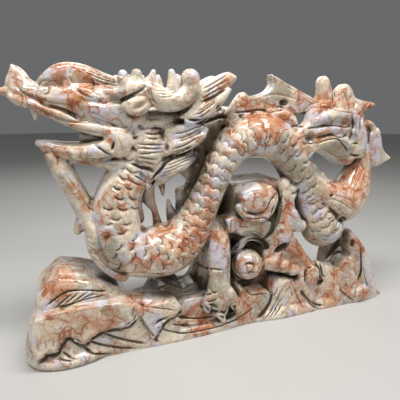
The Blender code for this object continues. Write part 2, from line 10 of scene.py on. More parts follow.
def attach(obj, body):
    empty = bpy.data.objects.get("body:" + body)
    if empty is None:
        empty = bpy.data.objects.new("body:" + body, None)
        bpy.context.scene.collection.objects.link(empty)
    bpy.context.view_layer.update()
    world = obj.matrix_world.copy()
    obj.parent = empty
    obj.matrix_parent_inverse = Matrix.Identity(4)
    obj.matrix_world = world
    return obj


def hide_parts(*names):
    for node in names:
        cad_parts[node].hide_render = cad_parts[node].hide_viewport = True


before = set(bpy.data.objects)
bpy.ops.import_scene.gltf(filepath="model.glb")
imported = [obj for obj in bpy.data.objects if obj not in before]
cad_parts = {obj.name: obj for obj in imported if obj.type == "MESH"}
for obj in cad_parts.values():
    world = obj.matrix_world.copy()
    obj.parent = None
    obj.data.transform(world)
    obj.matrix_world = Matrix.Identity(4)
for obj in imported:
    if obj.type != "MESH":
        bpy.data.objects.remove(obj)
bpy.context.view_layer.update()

# The carving is drawn in millimetres and made in metres. Its drawing stands a little to one side of the
# origin, and the finished stone is slid over it.
mm = 0.001
slideToOrigin = (4.36, 0.27)
middleOfHead = -4    # the head is mirrored about this depth
picturePlane = -25.0    # depth of the upright plane that lines and colours are drawn on
basePlane = -40.0    # the same for the lines of the base

# Widths and thicknesses of the dragon's own parts, in mm. Its body is bodyFlat times as deep as it is high.
dragon = {
    "belly": 52, "tail": 34, "snout": 40, "jaw": 16, "ear": 30,
    "antler": 17, "lock": 25, "leg": 26, "claw": 14, "beard": 16,
    "bodyFlat": 1.08,
}

# The same for what it lies on and what it is cut out of.
setting = {
    "fin": 16, "cloud": 40, "web": 12, "pearl": 33, "shell": 30, "ridge": 20,
    "shoulder": 84, "base": 47, "foamStep": 4, "depth": 92,
}

# How finely the stone is kept. The front carries the finest carving, the hidden sides are plainer.
surface = {
    "voxel": 0.85,    # mm
    "triangles": 190000,
    "hiddenTriangles": 48000,
    "seenFrom": 0.15,    # how squarely the front has to be seen to count as seen
    "easeRounds": 3,
    "smoothAngle": 60,
}

# Where the picture was taken from, in the drawing's millimetres and in degrees.
eye = {"x": -149.0, "y": -349.0, "z": 227.2, "down": 13.86, "towardsTail": 19.91, "lens": 32.13}


def deselectAll():
    if bpy.context.object and bpy.context.object.mode != "OBJECT":
        bpy.ops.object.mode_set(mode="OBJECT")
    bpy.ops.object.select_all(action="DESELECT")


def smoothRoute(points, pace=1.6):
    # A smooth curve through all the points, with a step about every pace millimetres.
    points = np.array(points, float)
    last = len(points) - 1
    route = []
    for i in range(last):
        a, b = points[max(i - 1, 0)], points[i]
        c, d = points[i + 1], points[min(i + 2, last)]
        steps = max(2, int(np.linalg.norm((c - b)[:3]) / pace))
        t = (np.arange(steps) / steps)[:, None]
        route.append(0.5 * (2 * b + (c - a) * t + (2 * a - 5 * b + 4 * c - d) * t ** 2
                            + (3 * b - a - 3 * c + d) * t ** 3))
    return np.vstack(route + [points[-1:]])


forms = []
crumbs = np.random.default_rng(7)


def addLimb(points, size, flat=1.0):
    # A path with a round section, its width given at each point as a share of size, flat times as deep.
    route = smoothRoute(points)
    centre, radius = route[:, :3], np.maximum(route[:, 3], 0.02) * size / 2
    turns = np.radians([82, 62, 42, 21])[:, None]    # rings of the rounded ends
    back = centre[0] - centre[1]
    ahead = centre[-1] - centre[-2]
    first = centre[0] + back / np.linalg.norm(back) * radius[0] * np.sin(turns)
    final = centre[-1] + ahead / np.linalg.norm(ahead) * radius[-1] * np.sin(turns[::-1])
    centre = np.vstack([first, centre, final])
    radius = np.concatenate([radius[0] * np.cos(turns[:, 0]), radius, radius[-1] * np.cos(turns[::-1, 0])])
    bpy.ops.curve.primitive_nurbs_path_add()
    limb = bpy.context.object
    limb.data.dimensions = "3D"
    path = limb.data.splines[0]
    path.type = "POLY"
    path.points.add(len(centre) - len(path.points))
    for point, (x, y, z), r in zip(path.points, centre, radius):
        point.co = (x * mm, y * mm / flat, z * mm, 1)
        point.radius = r
    limb.data.bevel_depth = mm
    limb.data.bevel_resolution = 10 if size > 30 else 5
    limb.data.use_fill_caps = True
    limb.scale = (1, flat, 1)
    bpy.ops.object.convert(target="MESH")
    bpy.ops.object.transform_apply(location=True, rotation=True, scale=True)
    forms.append(limb)


def addPair(points, size, flat=1.0):
    # The head is the same on the near and on the far side.
    addLimb(points, size, flat)
    addLimb([(x, 2 * middleOfHead - y, z, share) for x, y, z, share in points], size, flat)


def addBall(centre, size, shares=(1, 1, 1)):
    bpy.ops.mesh.primitive_uv_sphere_add(segments=40, ring_count=24, radius=size / 2 * mm,
                                         location=[c * mm for c in centre], scale=shares)
    bpy.ops.object.transform_apply(location=True, rotation=True, scale=True)
    forms.append(bpy.context.object)


def addSlab(outline, front, back, rounding, lying=False):
    # A filled circle takes the outline and is extruded ring by ring, so that both rims come out rounded.
    loop = smoothRoute(list(outline) + [outline[0]], 2.5)[:-1]
    count = len(loop)
    ahead = np.roll(loop, -1, axis=0) - np.roll(loop, 1, axis=0)
    ahead /= np.linalg.norm(ahead, axis=1)[:, None]
    area = np.sum(loop[:, 0] * np.roll(loop[:, 1], -1) - loop[:, 1] * np.roll(loop[:, 0], -1))
    inward = np.stack([-ahead[:, 1], ahead[:, 0]], axis=1) * np.sign(area)
    rounding = min(rounding, abs(back - front) / 2.2)
    arc = np.radians(np.linspace(0, 90, 6))
    inset = np.concatenate([1 - np.sin(arc), (1 - np.sin(arc))[::-1]]) * rounding
    sunk = (1 - np.cos(arc)) * rounding
    level = np.concatenate([front + sunk, (back - sunk)[::-1]])
    bpy.ops.mesh.primitive_circle_add(vertices=count, fill_type="NGON", enter_editmode=True)
    for _ in level[1:]:
        bpy.ops.mesh.extrude_region_move(TRANSFORM_OT_translate={"value": (0, 0, 1)})
    bpy.ops.object.mode_set(mode="OBJECT")
    slab = bpy.context.object
    for vert in slab.data.vertices:
        ring = round(vert.co.z)
        turned = (math.atan2(vert.co.y, vert.co.x) - math.pi / 2) % (2 * math.pi)
        column = round(turned / (2 * math.pi) * count) % count
        a, b = loop[column] + inward[column] * inset[ring]
        vert.co = Vector((a, b, level[ring]) if lying else (a, level[ring], b)) * mm
    forms.append(slab)


# The line of the body from the neck to the heel, each place with its share of the belly's thickness.
spine = [(-92, -8, 192, 0.76), (-99, -11, 170, 0.76), (-110, -16, 149, 0.82), (-114, -18, 124, 0.90),
         (-107, -18, 103, 0.96), (-87, -18, 92, 0.96), (-62, -18, 94, 1.0), (-42, -18, 108, 0.82),
         (-29, -18, 130, 0.66), (-17, -18, 154, 0.59), (-6, -18, 177, 0.62), (9, -18, 196, 0.74),
         (31, -18, 203, 0.86), (54, -18, 198, 0.82), (75, -18, 177, 0.73), (91, -18, 149, 0.69),
         (104, -19, 124, 0.72), (122, -21, 98, 0.9)]


def shapeHead():
    # Muzzle and skull, the nose spike and the brow that runs back into fluted hair.
    addLimb([(-202, -4, 244, 0.10), (-194, -4, 243.5, 0.24), (-184, -4, 243, 0.42), (-170, -4, 240, 0.60),
             (-154, -4, 238, 0.80), (-138, -4, 236, 1.0), (-118, -4, 230, 1.12), (-96, -4, 221, 1.05)],
            dragon["snout"], flat=1.28)
    addLimb([(-183, -4, 245, 0.68), (-185, -4, 251, 0.54), (-185.8, -4, 257, 0.40),
             (-187.2, -4, 261.4, 0.24), (-188.3, -4, 263.6, 0.1)], dragon["snout"], flat=0.75)
    addLimb([(-168, -4, 246, 0.34), (-158, -4, 253.5, 0.48), (-148, -4, 255, 0.54),
             (-134, -4, 254.5, 0.54), (-118, -4, 251, 0.52), (-104, -4, 248.5, 0.40), (-97, -4, 248, 0.20)],
            dragon["snout"], flat=1.7)
    addPair([(-163, -11, 251, 0.36), (-152, -13, 257.5, 0.44), (-138, -14, 258.5, 0.44),
             (-122, -15, 253.5, 0.42), (-108, -15, 249, 0.3)], dragon["snout"])
    # Lips and teeth.
    addPair([(-191, -10, 239.5, 0.16), (-178, -14, 234, 0.2), (-162, -19, 227, 0.24),
             (-145, -23, 219, 0.26), (-128, -26, 213, 0.28), (-108, -27, 209, 0.26)], dragon["snout"])
    for x, top, tip, size in ((-183, 236, 230.5, 0.16), (-174, 232, 221, 0.22), (-165.5, 229, 223, 0.18)):
        addPair([(x, -13, top, size), (x, -13, (top + tip) / 2, size * 0.75),
                 (x - 0.5, -13, tip, size * 0.25)], dragon["snout"])
    # Lower jaw, the throat behind the open mouth and the chin bumps.
    addPair([(-175, -8, 201, 0.32), (-167, -11, 198.5, 0.58), (-152, -16, 194, 0.85), (-136, -21, 193, 1.0),
             (-118, -25, 196, 1.15)], dragon["jaw"])
    addLimb([(-170, -4, 197, 0.5), (-155, -4, 193, 0.8), (-130, -4, 192, 1.1)], dragon["jaw"], flat=2.0)
    addLimb([(-134, -4, 204, 0.9), (-122, -4, 204, 1.6), (-104, -4, 204, 2.2)], dragon["jaw"], flat=1.3)
    addLimb([(-164.5, -8, 189, 0.8), (-161, -8, 182, 0.9), (-158, -8, 175, 1.0)], dragon["jaw"], flat=1.6)
    addLimb([(-157, -8, 184, 1.0), (-153, -10, 173, 1.0), (-147, -12, 160, 0.9), (-141, -13, 148, 0.8)],
            dragon["jaw"], flat=1.3)
    addPair([(-162, -10, 182, 0.42), (-150, -12, 185, 0.42), (-135, -17, 185, 0.5), (-118, -20, 182, 0.75),
             (-103, -20, 178, 1.1)], dragon["jaw"])
    # Eyes, cheeks, jowls under the fluted hair, and the ears.
    for y in (-19, 2 * middleOfHead + 19):
        addBall((-147.5, y, 250), dragon["snout"], (0.28, 0.22, 0.28))
    for y in (-26, 2 * middleOfHead + 26):
        addBall((-108, y, 202), dragon["snout"], (0.68, 0.45, 0.74))
        addBall((-83, y * 0.6, 194), dragon["snout"], (0.92, 1.0, 1.25))
    addPair([(-106, -31, 230, 0.22), (-98, -33, 231, 0.5), (-89, -34, 233, 0.56), (-82, -34, 240, 0.32),
             (-78.5, -33, 245, 0.1)], dragon["ear"], flat=0.5)


def shapeAntlers():
    size = dragon["antler"]
    addPair([(-124, -20, 243, 0.60), (-108, -25, 242, 0.80), (-92, -28, 246, 1.05), (-78, -29, 243, 1.12),
             (-65, -30, 236.5, 1.14), (-52, -30, 238, 1.05), (-43.5, -29, 246, 1.0), (-42, -28, 256, 1.05)],
            size)
    for tine in ([(-100, -28, 248, 0.7), (-102, -28, 254, 0.62), (-102, -28, 257.5, 0.52)],
                 [(-92, -28, 250, 0.8), (-91, -28, 255, 0.7), (-90.5, -28, 258, 0.6)],
                 [(-83, -29, 248, 0.75), (-78, -29, 255, 0.5), (-75.8, -29, 260.5, 0.3)],
                 [(-60, -30, 242, 0.8), (-59, -30, 252, 0.6), (-60, -30, 260.5, 0.4)]):
        addPair(tine, size)


def shapeMane():
    # The locks fan out to the right; the core joins them to the neck and to the web behind.
    for core in ([(-96, -4, 214, 1.3), (-70, -4, 216, 1.3), (-50, -3, 226, 1.1), (-30, -1, 236, 0.6)],
                 [(-92, -4, 196, 1.5), (-70, -3, 197, 1.3), (-52, -1, 203, 1.0), (-30, 2, 208, 0.7)],
                 [(-90, -4, 184, 1.2), (-68, -2, 186, 0.8), (-46, 2, 194, 0.6)]):
        addLimb(core, dragon["lock"], flat=1.3)
    blades = ([(-33.5, 249.5), (-21.5, 256.5), (-11.5, 261.5), (-5, 263.5), (1, 262), (5, 258.5),
               (0, 251.5), (-4, 248.5), (-9.5, 242), (-15.5, 236), (-19.5, 229), (-26.5, 218.5), (-41, 219),
               (-53, 222), (-46, 230), (-37.5, 240)],
              [(-67, 212), (-59, 215), (-46, 217), (-31.5, 217), (-26.5, 215), (-23.5, 211), (-25.5, 206),
               (-31.5, 200), (-41, 194.5), (-51, 190.5), (-63, 186.5), (-69, 190.5)])
    for blade in blades:
        for front in (-31, 2 * middleOfHead + 15):
            addSlab(blade, front, front + 16, dragon["lock"] * 0.2)
    locks = ([(-44, -30, 219, 0.4), (-28, -32, 228, 0.46), (-14, -32, 239, 0.4), (-4.5, -31, 247, 0.18)],
             [(-72, -24, 194, 0.6), (-56, -29, 196, 0.6), (-41, -31, 201, 0.5), (-30, -31, 205, 0.22)],
             [(-78, -22, 171, 0.62), (-63, -26, 176, 0.68), (-49, -28, 181, 0.56), (-39, -28, 184, 0.2)],
             [(-84, -20, 162, 0.42), (-69, -24, 165, 0.36), (-58, -24, 169.5, 0.14)],
             [(-110, -22, 172, 0.42), (-98, -27, 168, 0.46), (-85, -27, 162, 0.36)],
             [(-106, -21, 181, 0.42), (-93, -27, 177, 0.5), (-79, -27, 169, 0.38)])
    for lock in locks:
        addPair(lock, dragon["lock"], flat=0.62)


def shapeBody():
    # Neck, chest, belly, the rise, the arch and the limb that comes down again to the heel.
    addLimb(spine, dragon["belly"], flat=dragon["bodyFlat"])
    # Heel of the turn and the tail that rises from it.
    addBall((121, -21, 98), dragon["tail"], (1.47, 1.3, 1.47))
    addLimb([(98, -23, 150, 0.7), (112, -25, 138, 0.95), (126, -25, 130, 1.15), (143, -24, 126, 1.42),
             (155, -22, 134, 1.34), (163.5, -20, 148, 1.16), (169, -18, 162, 0.94), (170, -15, 178, 0.8),
             (168, -11, 194, 0.6)], dragon["tail"])
    # Beard strip, chest spike and the plated front of the neck.
    addLimb([(-157, -8, 180, 1.20), (-152.5, -8, 167, 1.14), (-147, -8, 155, 1.22), (-141, -10, 140, 1.20),
             (-134, -14, 122, 1.1)], dragon["beard"], flat=1.2)
    addLimb([(-122, -10, 146, 0.7), (-130, -10, 145, 0.6), (-138, -10, 147, 0.6)],
            dragon["beard"], flat=1.5)
    addLimb([(-134, -10, 130, 1.0), (-143, -10, 127, 0.92), (-148.5, -10, 119, 0.5)],
            dragon["beard"], flat=1.4)
    addLimb([(-134, -15, 124, 1.05), (-134, -17, 104, 1.0), (-126, -18, 88, 1.0), (-112, -18, 76, 1.1)],
            dragon["beard"], flat=2.2)


def shapeLeg():
    addLimb([(-14, -20, 112, 0.9), (-13, -26, 98, 1.0), (-12.5, -29, 80, 1.0), (-12, -31, 62, 0.88),
             (-13, -32, 46, 1.0), (-14, -33, 34, 1.1), (-13, -34, 24, 0.8)], dragon["leg"], flat=0.85)
    for toe in ([(-20, -36, 44, 1.0), (-28, -38, 35, 0.85), (-28.5, -39, 26, 0.4)],
                [(-14, -38, 36, 1.1), (-15, -40, 24, 0.9), (-11, -41, 13.5, 0.4)],
                [(-4, -36, 42, 1.0), (3, -38, 29, 0.9), (8, -39, 18, 0.4)]):
        addLimb(toe, dragon["claw"])


def shapeFinAndCloud():
    # Fin behind the arch, with the row of flames that follows it.
    middle = -7
    front, back = middle - setting["fin"] / 2, middle + setting["fin"] / 2
    addSlab([(0, 214), (6, 230), (13, 241), (20, 247), (27, 243), (38, 245), (47, 249), (51.5, 256),
             (50.5, 265), (56, 262.5), (69, 257), (90, 248), (112, 238), (118, 228), (90, 224), (66, 221),
             (40, 208)], front, back, setting["fin"] * 0.3)
    addSlab([(106, 226), (113, 246), (112.5, 259), (117, 265.5), (123, 262), (128, 251), (133, 243),
             (138, 252), (146, 258), (154, 254), (161, 244), (172, 240.5), (191, 237), (183, 230),
             (174, 226), (168, 216), (150, 212)], front, back, setting["fin"] * 0.3)
    # Draped cloud above the gap on the right, its curl, and the small fin at the far end.
    front = -33
    addSlab([(109, 212), (108, 226), (108, 236), (125, 239), (150, 237), (160, 226), (163, 210), (166, 196),
             (163, 184), (154, 174), (145, 168), (132, 176), (120, 182), (107, 187), (104, 198)],
            front, front + setting["cloud"], setting["cloud"] * 0.2)
    addSlab([(90, 226), (95, 233), (104, 237), (120, 237), (122, 212), (120, 186), (107, 187), (97, 184),
             (90, 176), (78, 188), (72, 202), (78, 211), (86, 216)],
            front, front + setting["cloud"] * 0.45, setting["cloud"] * 0.14)
    folds = ([(93, -29, 217, 0.26), (108, -30, 222, 0.36), (126, -30, 224, 0.4), (146, -29, 221, 0.36)],
             [(92, -29, 204, 0.2), (106, -30, 208, 0.3), (124, -30, 210, 0.34), (146, -29, 206, 0.3)],
             [(94, -28, 192, 0.24), (110, -29, 197, 0.36), (126, -30, 197, 0.4), (142, -29, 191, 0.36)])
    for fold in folds:
        addLimb(fold, setting["cloud"])
    addLimb([(44, -18, 222, 0.3), (57, -20, 224, 0.38), (68, -22, 218, 0.4), (73, -22, 207, 0.34)],
            setting["cloud"])
    addLimb([(147, -29, 222, 0.3), (152, -30, 211, 0.38), (156, -30, 198, 0.42), (157, -29, 184, 0.42)],
            setting["cloud"])
    addLimb([(160, -20, 202, 0.2), (165, -20, 210, 0.2), (172, -20, 214.5, 0.2), (179.5, -20, 212, 0.2),
             (184, -20, 204, 0.22)], setting["cloud"], flat=1.4)
    addSlab([(177, 203), (181, 207), (187, 210), (192, 205), (195, 196), (198, 187), (204, 180),
             (213, 173.5), (204, 169), (194, 164), (176, 166), (177, 184)],
            -20 - setting["web"] / 2, -20 + setting["web"] / 2, setting["web"] * 0.3)
    addSlab([(98, 175.5), (106.5, 169.5), (111, 163.5), (117, 161.5), (122, 155), (130, 152), (128, 146),
             (106, 149), (94, 159.5)], -25, -13, setting["web"] * 0.2)
    # Web behind the mane and the thin bars left between the drilled holes.
    middle = 4
    addSlab([(-44, 165), (-52, 180), (-54, 192), (-40, 220), (-24, 233), (0, 233), (16, 230), (22, 214),
             (4, 190), (-14, 162), (-28, 140), (-38, 118), (-48, 118), (-48, 136), (-48, 148), (-38, 152),
             (-37, 158)], middle - setting["web"] / 2, middle + setting["web"] / 2, setting["web"] * 0.3)
    for bar in ([(-96, -2, 166, 1.3), (-92, 0, 150, 1.1), (-91, 0, 138, 1.0), (-89, 0, 122, 1.0)],
                [(-80, 0, 176, 1.6), (-80, 1, 156, 1.5), (-78, 2, 142, 1.2), (-72, 2, 128, 0.6),
                 (-69, 2, 112, 0.9)],
                [(-66, -2, 166, 0.9), (-64, 0, 154, 0.6), (-63, 0, 145, 0.3)],
                [(-57, 2, 138, 0.3), (-56, 2, 130, 0.65), (-53, 2, 120, 1.1), (-50, 2, 108, 1.0)]):
        addLimb(bar, setting["web"])


def shapeShell():
    # Curled shell in the hollow under the arch, with the pearl below it.
    size = setting["shell"]
    addBall((31, -26, 137), size, (1.6, 1, 1.3))
    addBall((29, -31, 133), size, (1.2, 0.72, 0.8))
    addLimb([(6.5, -34, 134, 0.26), (13, -36, 125.5, 0.3), (24, -36, 120.5, 0.32), (35.5, -36, 121.5, 0.32),
             (43, -36, 129.5, 0.3), (47, -35, 141, 0.28), (43, -33, 150.5, 0.22)], size)
    addSlab([(-7, 120.5), (6.5, 123.5), (20, 118.5), (36, 117.5), (47.5, 112.5), (45.5, 102.5), (38, 95),
             (30, 101), (20, 103.5), (12.5, 101), (6.5, 105.5), (-3, 106.5)], -33, -10, size * 0.13)
    addLimb([(9, -14, 76, 0.2), (15.5, -22, 86.5, 0.26), (21.5, -22, 94, 0.28), (31.5, -22, 95, 0.3),
             (42, -22, 89.5, 0.28), (48, -22, 80.5, 0.24)], size)
    addBall((22, -27, 66.5), setting["pearl"])
    addBall((21, -39, 66.5), setting["pearl"], (0.45, 0.45, 0.45))
    addSlab([(2, 124), (3, 142), (8, 154), (20, 157), (45, 158), (60, 156), (74, 138), (78, 116), (76, 96),
             (60, 90), (40, 90), (14, 98), (4, 108)], -26, 24, size * 0.3)
    addSlab([(-26, 112), (-22, 132), (-10, 152), (8, 156), (14, 140), (12, 112)], 2, 18, size * 0.13)
    addSlab([(-28, 8), (-28, 40), (-24, 60), (-22, 92), (-10, 107), (10, 106), (50, 100), (76, 98),
             (84, 82), (91, 68), (100, 54), (108, 42), (110, 8)], -12, 26, size * 0.3)


def shapeBase():
    level = setting["base"]
    crown = setting["shoulder"]
    bottom = -4
    addSlab([(-204, -12), (-199, -28), (-188, -38), (-170, -43), (-150, -42), (-130, -38), (-110, -35),
             (-80, -34), (0, -34), (100, -34), (130, -35), (148, -39), (165, -44), (180, -44), (193, -40),
             (202, -33), (208, -20), (208, 4), (201, 32), (186, 43), (150, 45), (0, 46), (-150, 45),
             (-186, 38), (-203, 18)], bottom, level * 0.44, setting["depth"] * 0.1, lying=True)
    # The lip along the lower edge, at the left end and then along the front.
    addLimb([(-197, -28, 4, 0.5), (-188, -37, 5, 0.6), (-172, -42, 5, 0.62), (-155, -42, 5, 0.62),
             (-138, -38, 5, 0.6), (-120, -33, 4, 0.5)], setting["ridge"])
    addLimb([(-100, -33, 3, 0.8), (-80, -33.5, 3, 0.9), (-56, -34, 3, 0.9), (-20, -33, 3, 0.9),
             (22, -30, 3, 0.9), (62, -34, 3, 0.9), (110, -33, 3, 0.9), (150, -33.5, 3, 0.85),
             (180, -34, 4, 0.8), (196, -28, 5, 0.8), (201, -14, 5, 0.75)], setting["ridge"])
    # Bed under the leg, the mass on the left, the wall under the belly and the smooth shoulder.
    addLimb([(-72, -16, level - 20, 1.2), (-40, -20, level - 20, 1.3), (10, -22, level - 22, 1.2)],
            setting["ridge"])
    addSlab([(-190, -8), (-198, 14), (-199, 30), (-196, 44), (-189, level + 8), (-176, level + 13),
             (-150, level + 14), (-120, level + 12), (-95, level + 6), (-66, level), (-61, level - 10),
             (-62, -8)], -41, -14, setting["depth"] * 0.12)
    addSlab([(-128, 8), (-124, level - 6), (-112, level - 6), (-100, level - 4), (-84, level - 1),
             (-64, level + 6), (-48, level - 2), (-32, level), (-30, 8)], -20, 6, setting["depth"] * 0.05)
    addSlab([(-188, 26), (-191, crown - 28), (-188, crown - 16), (-180, crown - 8), (-170, crown),
             (-164, crown), (-150, crown - 3), (-136, crown - 8), (-122, crown - 15), (-113, crown - 26),
             (-109, 26)], -37, 30, setting["depth"] * 0.15)
    # Rocks at the right end, the fan of grooves and the leaf below the pearl.
    addSlab([(114, level - 30), (115, level - 15), (119, level - 3), (130, level), (142, level - 2),
             (152, level + 4), (160, level + 13), (170, level + 17), (186, level + 11), (193, level - 4),
             (196, level - 15), (201, 21), (207, 8), (208, -2), (115, -2)],
            -36, -2, setting["depth"] * 0.085)
    addSlab([(32, -2), (38, 12), (48, 28), (54, level - 7), (62, level - 1), (74, level - 3),
             (86, level - 7), (97, level - 9), (114, level - 13), (119, -2)],
            -37, -2, setting["depth"] * 0.085)
    addSlab([(6, -2), (4, 10), (8, 30), (9, level - 1), (14, level - 4), (21, 37), (32, 35), (46, 33),
             (45, 22), (40, 12), (34, 2), (32, -2)], -39, -10, setting["depth"] * 0.055)
    # Sheets of foam and the curling wave crest stand out from the front.
    front = -41 - setting["foamStep"]
    back = -31
    addSlab([(-190, level + 6), (-196, 34), (-192, 15), (-188, 16), (-183, 19), (-175, 18), (-171, 26),
             (-164, 32), (-158, 26), (-151, 21), (-145, 27), (-136, 30), (-124, 31), (-112, 31), (-105, 36),
             (-101, level), (-112, level + 7), (-130, level + 10), (-170, level + 10)],
            front, back, setting["foamStep"] * 0.35)
    addSlab([(-100, level - 1), (-80, level + 1), (-63, level), (-60, level - 8), (-66, 32), (-75, 29),
             (-82, 21), (-87, 10), (-93, 22), (-99, 36)], front, back, setting["foamStep"] * 0.35)
    # Crumbs of foam line its torn edge.
    tornEdges = ([(-192, 17), (-188, 18), (-183, 21), (-176, 20), (-171, 28), (-164, 34), (-158, 28),
                  (-151, 23.5), (-145, 29), (-136, 32), (-124, 33), (-112, 33), (-105, 38), (-101, 45)],
                 [(-63, 40), (-66, 34), (-75, 31), (-82, 23), (-86, 13)])
    for torn in tornEdges:
        edge = smoothRoute([(x, z, 0) for x, z in torn], 1.0)
        walked = 0
        while walked < len(edge) - 1:
            size = crumbs.uniform(5.5, 10)
            x, z, _ = edge[int(walked)]
            addBall((x, front + crumbs.uniform(1.5, 3.0), z), size, (1, 0.55, 0.75))
            walked += size * 0.42
    # Back walls of the hollows under the belly and under the heel.
    addSlab([(-74, 10), (-72, 52), (-66, 74), (-54, 76), (-50, 52), (-42, 43), (-34, 44), (-28, 58),
             (-24, 88), (-16, 70), (-16, 10)], 4, 22, setting["web"] * 0.4)
    addSlab([(150, 12), (151, 48), (158, 62), (174, 76), (186, 62), (196, 12)],
            -2, 20, setting["web"] * 0.3)


def shapeRidges():
    # Broad ridges that run down the right half of the front, and the smooth band at its end.
    addSlab([(55, 150), (57, 130), (55, 115), (47, 102), (40, 94), (45, 86), (39, 78), (38, 66), (41, 58),
             (53, 54), (66, 50), (78, 47), (90, 48), (102, 50), (109, 54), (103, 62), (94, 72), (84, 83),
             (74, 94), (74, 102), (70, 113), (72, 127), (78, 140), (74, 152)],
            -34, -10, setting["ridge"] * 0.3)
    for x, z, wide, tall in ((50, 66, 1.2, 0.95), (66, 60, 0.8, 0.85), (78, 54, 0.9, 0.8)):
        addBall((x, -31, z), setting["ridge"], (wide, 0.8, tall))
    for ridge in ([(62, -27, 152, 0.8), (67, -28, 130, 0.9), (66, -29, 108, 1.0), (66, -29, 91, 1.0),
                   (78, -31, 75, 0.8), (92, -32, 60, 0.7), (102, -33, 46, 0.6)],
                  [(70, -30, 118, 1.0), (78, -30, 107, 0.9), (86, -29, 104, 0.7)],
                  [(89, -33, 58, 0.5), (90, -33, 44, 0.66), (92, -33, 34, 0.7), (97, -33, 20, 0.7),
                   (110, -33, 3, 0.7), (121, -33, -8, 0.6)],
                  [(111, -33, 56, 0.35), (117, -33, 50, 0.4), (120, -33, 40, 0.4), (124, -33, 31, 0.35)],
                  [(128, -26, 43, 1.0), (135, -27, 28, 1.3), (140, -28, 8, 1.4), (140, -28, -8, 1.4)],
                  [(152, -25, 48, 1.1), (160, -27, 32, 1.3), (166, -28, 8, 1.4), (166, -28, -8, 1.4)]):
        addLimb(ridge, setting["ridge"])
    addSlab([(91, 37), (91, 56), (98, 58), (108, 52.5), (110, 43), (107, 35), (97, 33)],
            -41, -20, setting["ridge"] * 0.15)
    # The back is finished more plainly, with a few broad swells.
    swells = ([(-186, 26, -8, 1.6), (-178, 28, 18, 1.8), (-160, 26, 44, 1.7), (-138, 22, 62, 1.3)],
              [(-140, 34, -8, 1.4), (-128, 32, 4, 1.5), (-106, 30, 8, 1.4), (-88, 24, 14, 1.2)],
              [(-86, 36, -8, 1.4), (-74, 33, 12, 1.5), (-64, 27, 38, 1.3), (-60, 18, 60, 1.2),
               (-56, 6, 80, 1.1)],
              [(-36, 36, -8, 1.4), (-22, 33, 18, 1.4), (-4, 28, 54, 1.4), (8, 24, 90, 1.3),
               (26, 20, 120, 1.3), (44, 18, 140, 1.2)],
              [(12, 36, -8, 1.4), (24, 33, 18, 1.5), (44, 28, 48, 1.4), (62, 24, 80, 1.3),
               (64, 20, 112, 1.2)],
              [(70, 36, -8, 1.3), (82, 32, 14, 1.4), (96, 26, 28, 1.2)],
              [(120, 36, -8, 1.3), (128, 32, 8, 1.3), (140, 26, 16, 1.2)],
              [(188, 30, -8, 1.6), (184, 26, 14, 1.6), (176, 18, 36, 1.4), (168, 10, 58, 1.1)])
    for swell in swells:
        addLimb(swell, setting["ridge"])
    # The last ridge runs down the right end from the heel's hollow.
    addLimb([(157, -24, 84, 0.7), (166, -25, 69, 1.0), (176, -24, 52, 1.2), (183, -23, 31, 1.3),
             (193, -21, 9, 1.4), (195, -21, -8, 1.4)], setting["ridge"], flat=1.5)


print("shaping the forms")
deselectAll()
shapeBase()
shapeRidges()
shapeShell()
shapeFinAndCloud()
shapeBody()
shapeLeg()
shapeMane()
shapeAntlers()
shapeHead()


def weldForms():
    # All forms become one skin: joined, remeshed, cleared of loose crumbs and eased where they meet.
    deselectAll()
    for form in forms:
        form.select_set(True)
    stone = forms[0]
    bpy.context.view_layer.objects.active = stone
    bpy.ops.object.join()
    bpy.ops.object.mode_set(mode="EDIT")
    bpy.ops.mesh.select_all(action="SELECT")
    bpy.ops.mesh.remove_doubles(threshold=0.01 * mm)
    bpy.ops.mesh.normals_make_consistent(inside=False)
    bpy.ops.object.mode_set(mode="OBJECT")
    weld = stone.modifiers.new("weld", "REMESH")
    weld.mode = "VOXEL"
    weld.voxel_size = surface["voxel"] * mm
    weld.adaptivity = 0
    ease = stone.modifiers.new("ease joins", "SMOOTH")
    ease.factor = 0.5
    ease.iterations = surface["easeRounds"]
    bpy.ops.object.modifier_apply(modifier="weld")
    bpy.ops.object.modifier_apply(modifier="ease joins")
    bpy.ops.object.mode_set(mode="EDIT")
    bpy.ops.mesh.separate(type="LOOSE")
    bpy.ops.object.mode_set(mode="OBJECT")
    skins = sorted(bpy.context.selected_objects, key=lambda skin: len(skin.data.vertices))
    for crumb in skins[:-1]:
        bpy.data.objects.remove(crumb, do_unlink=True)
    stone = skins[-1]
    deselectAll()
    stone.select_set(True)
    bpy.context.view_layer.objects.active = stone
    stone.name = stone.data.name = "carvedDragon"
    return stone


stone = weldForms()
print("welded the forms,", len(stone.data.vertices), "points")


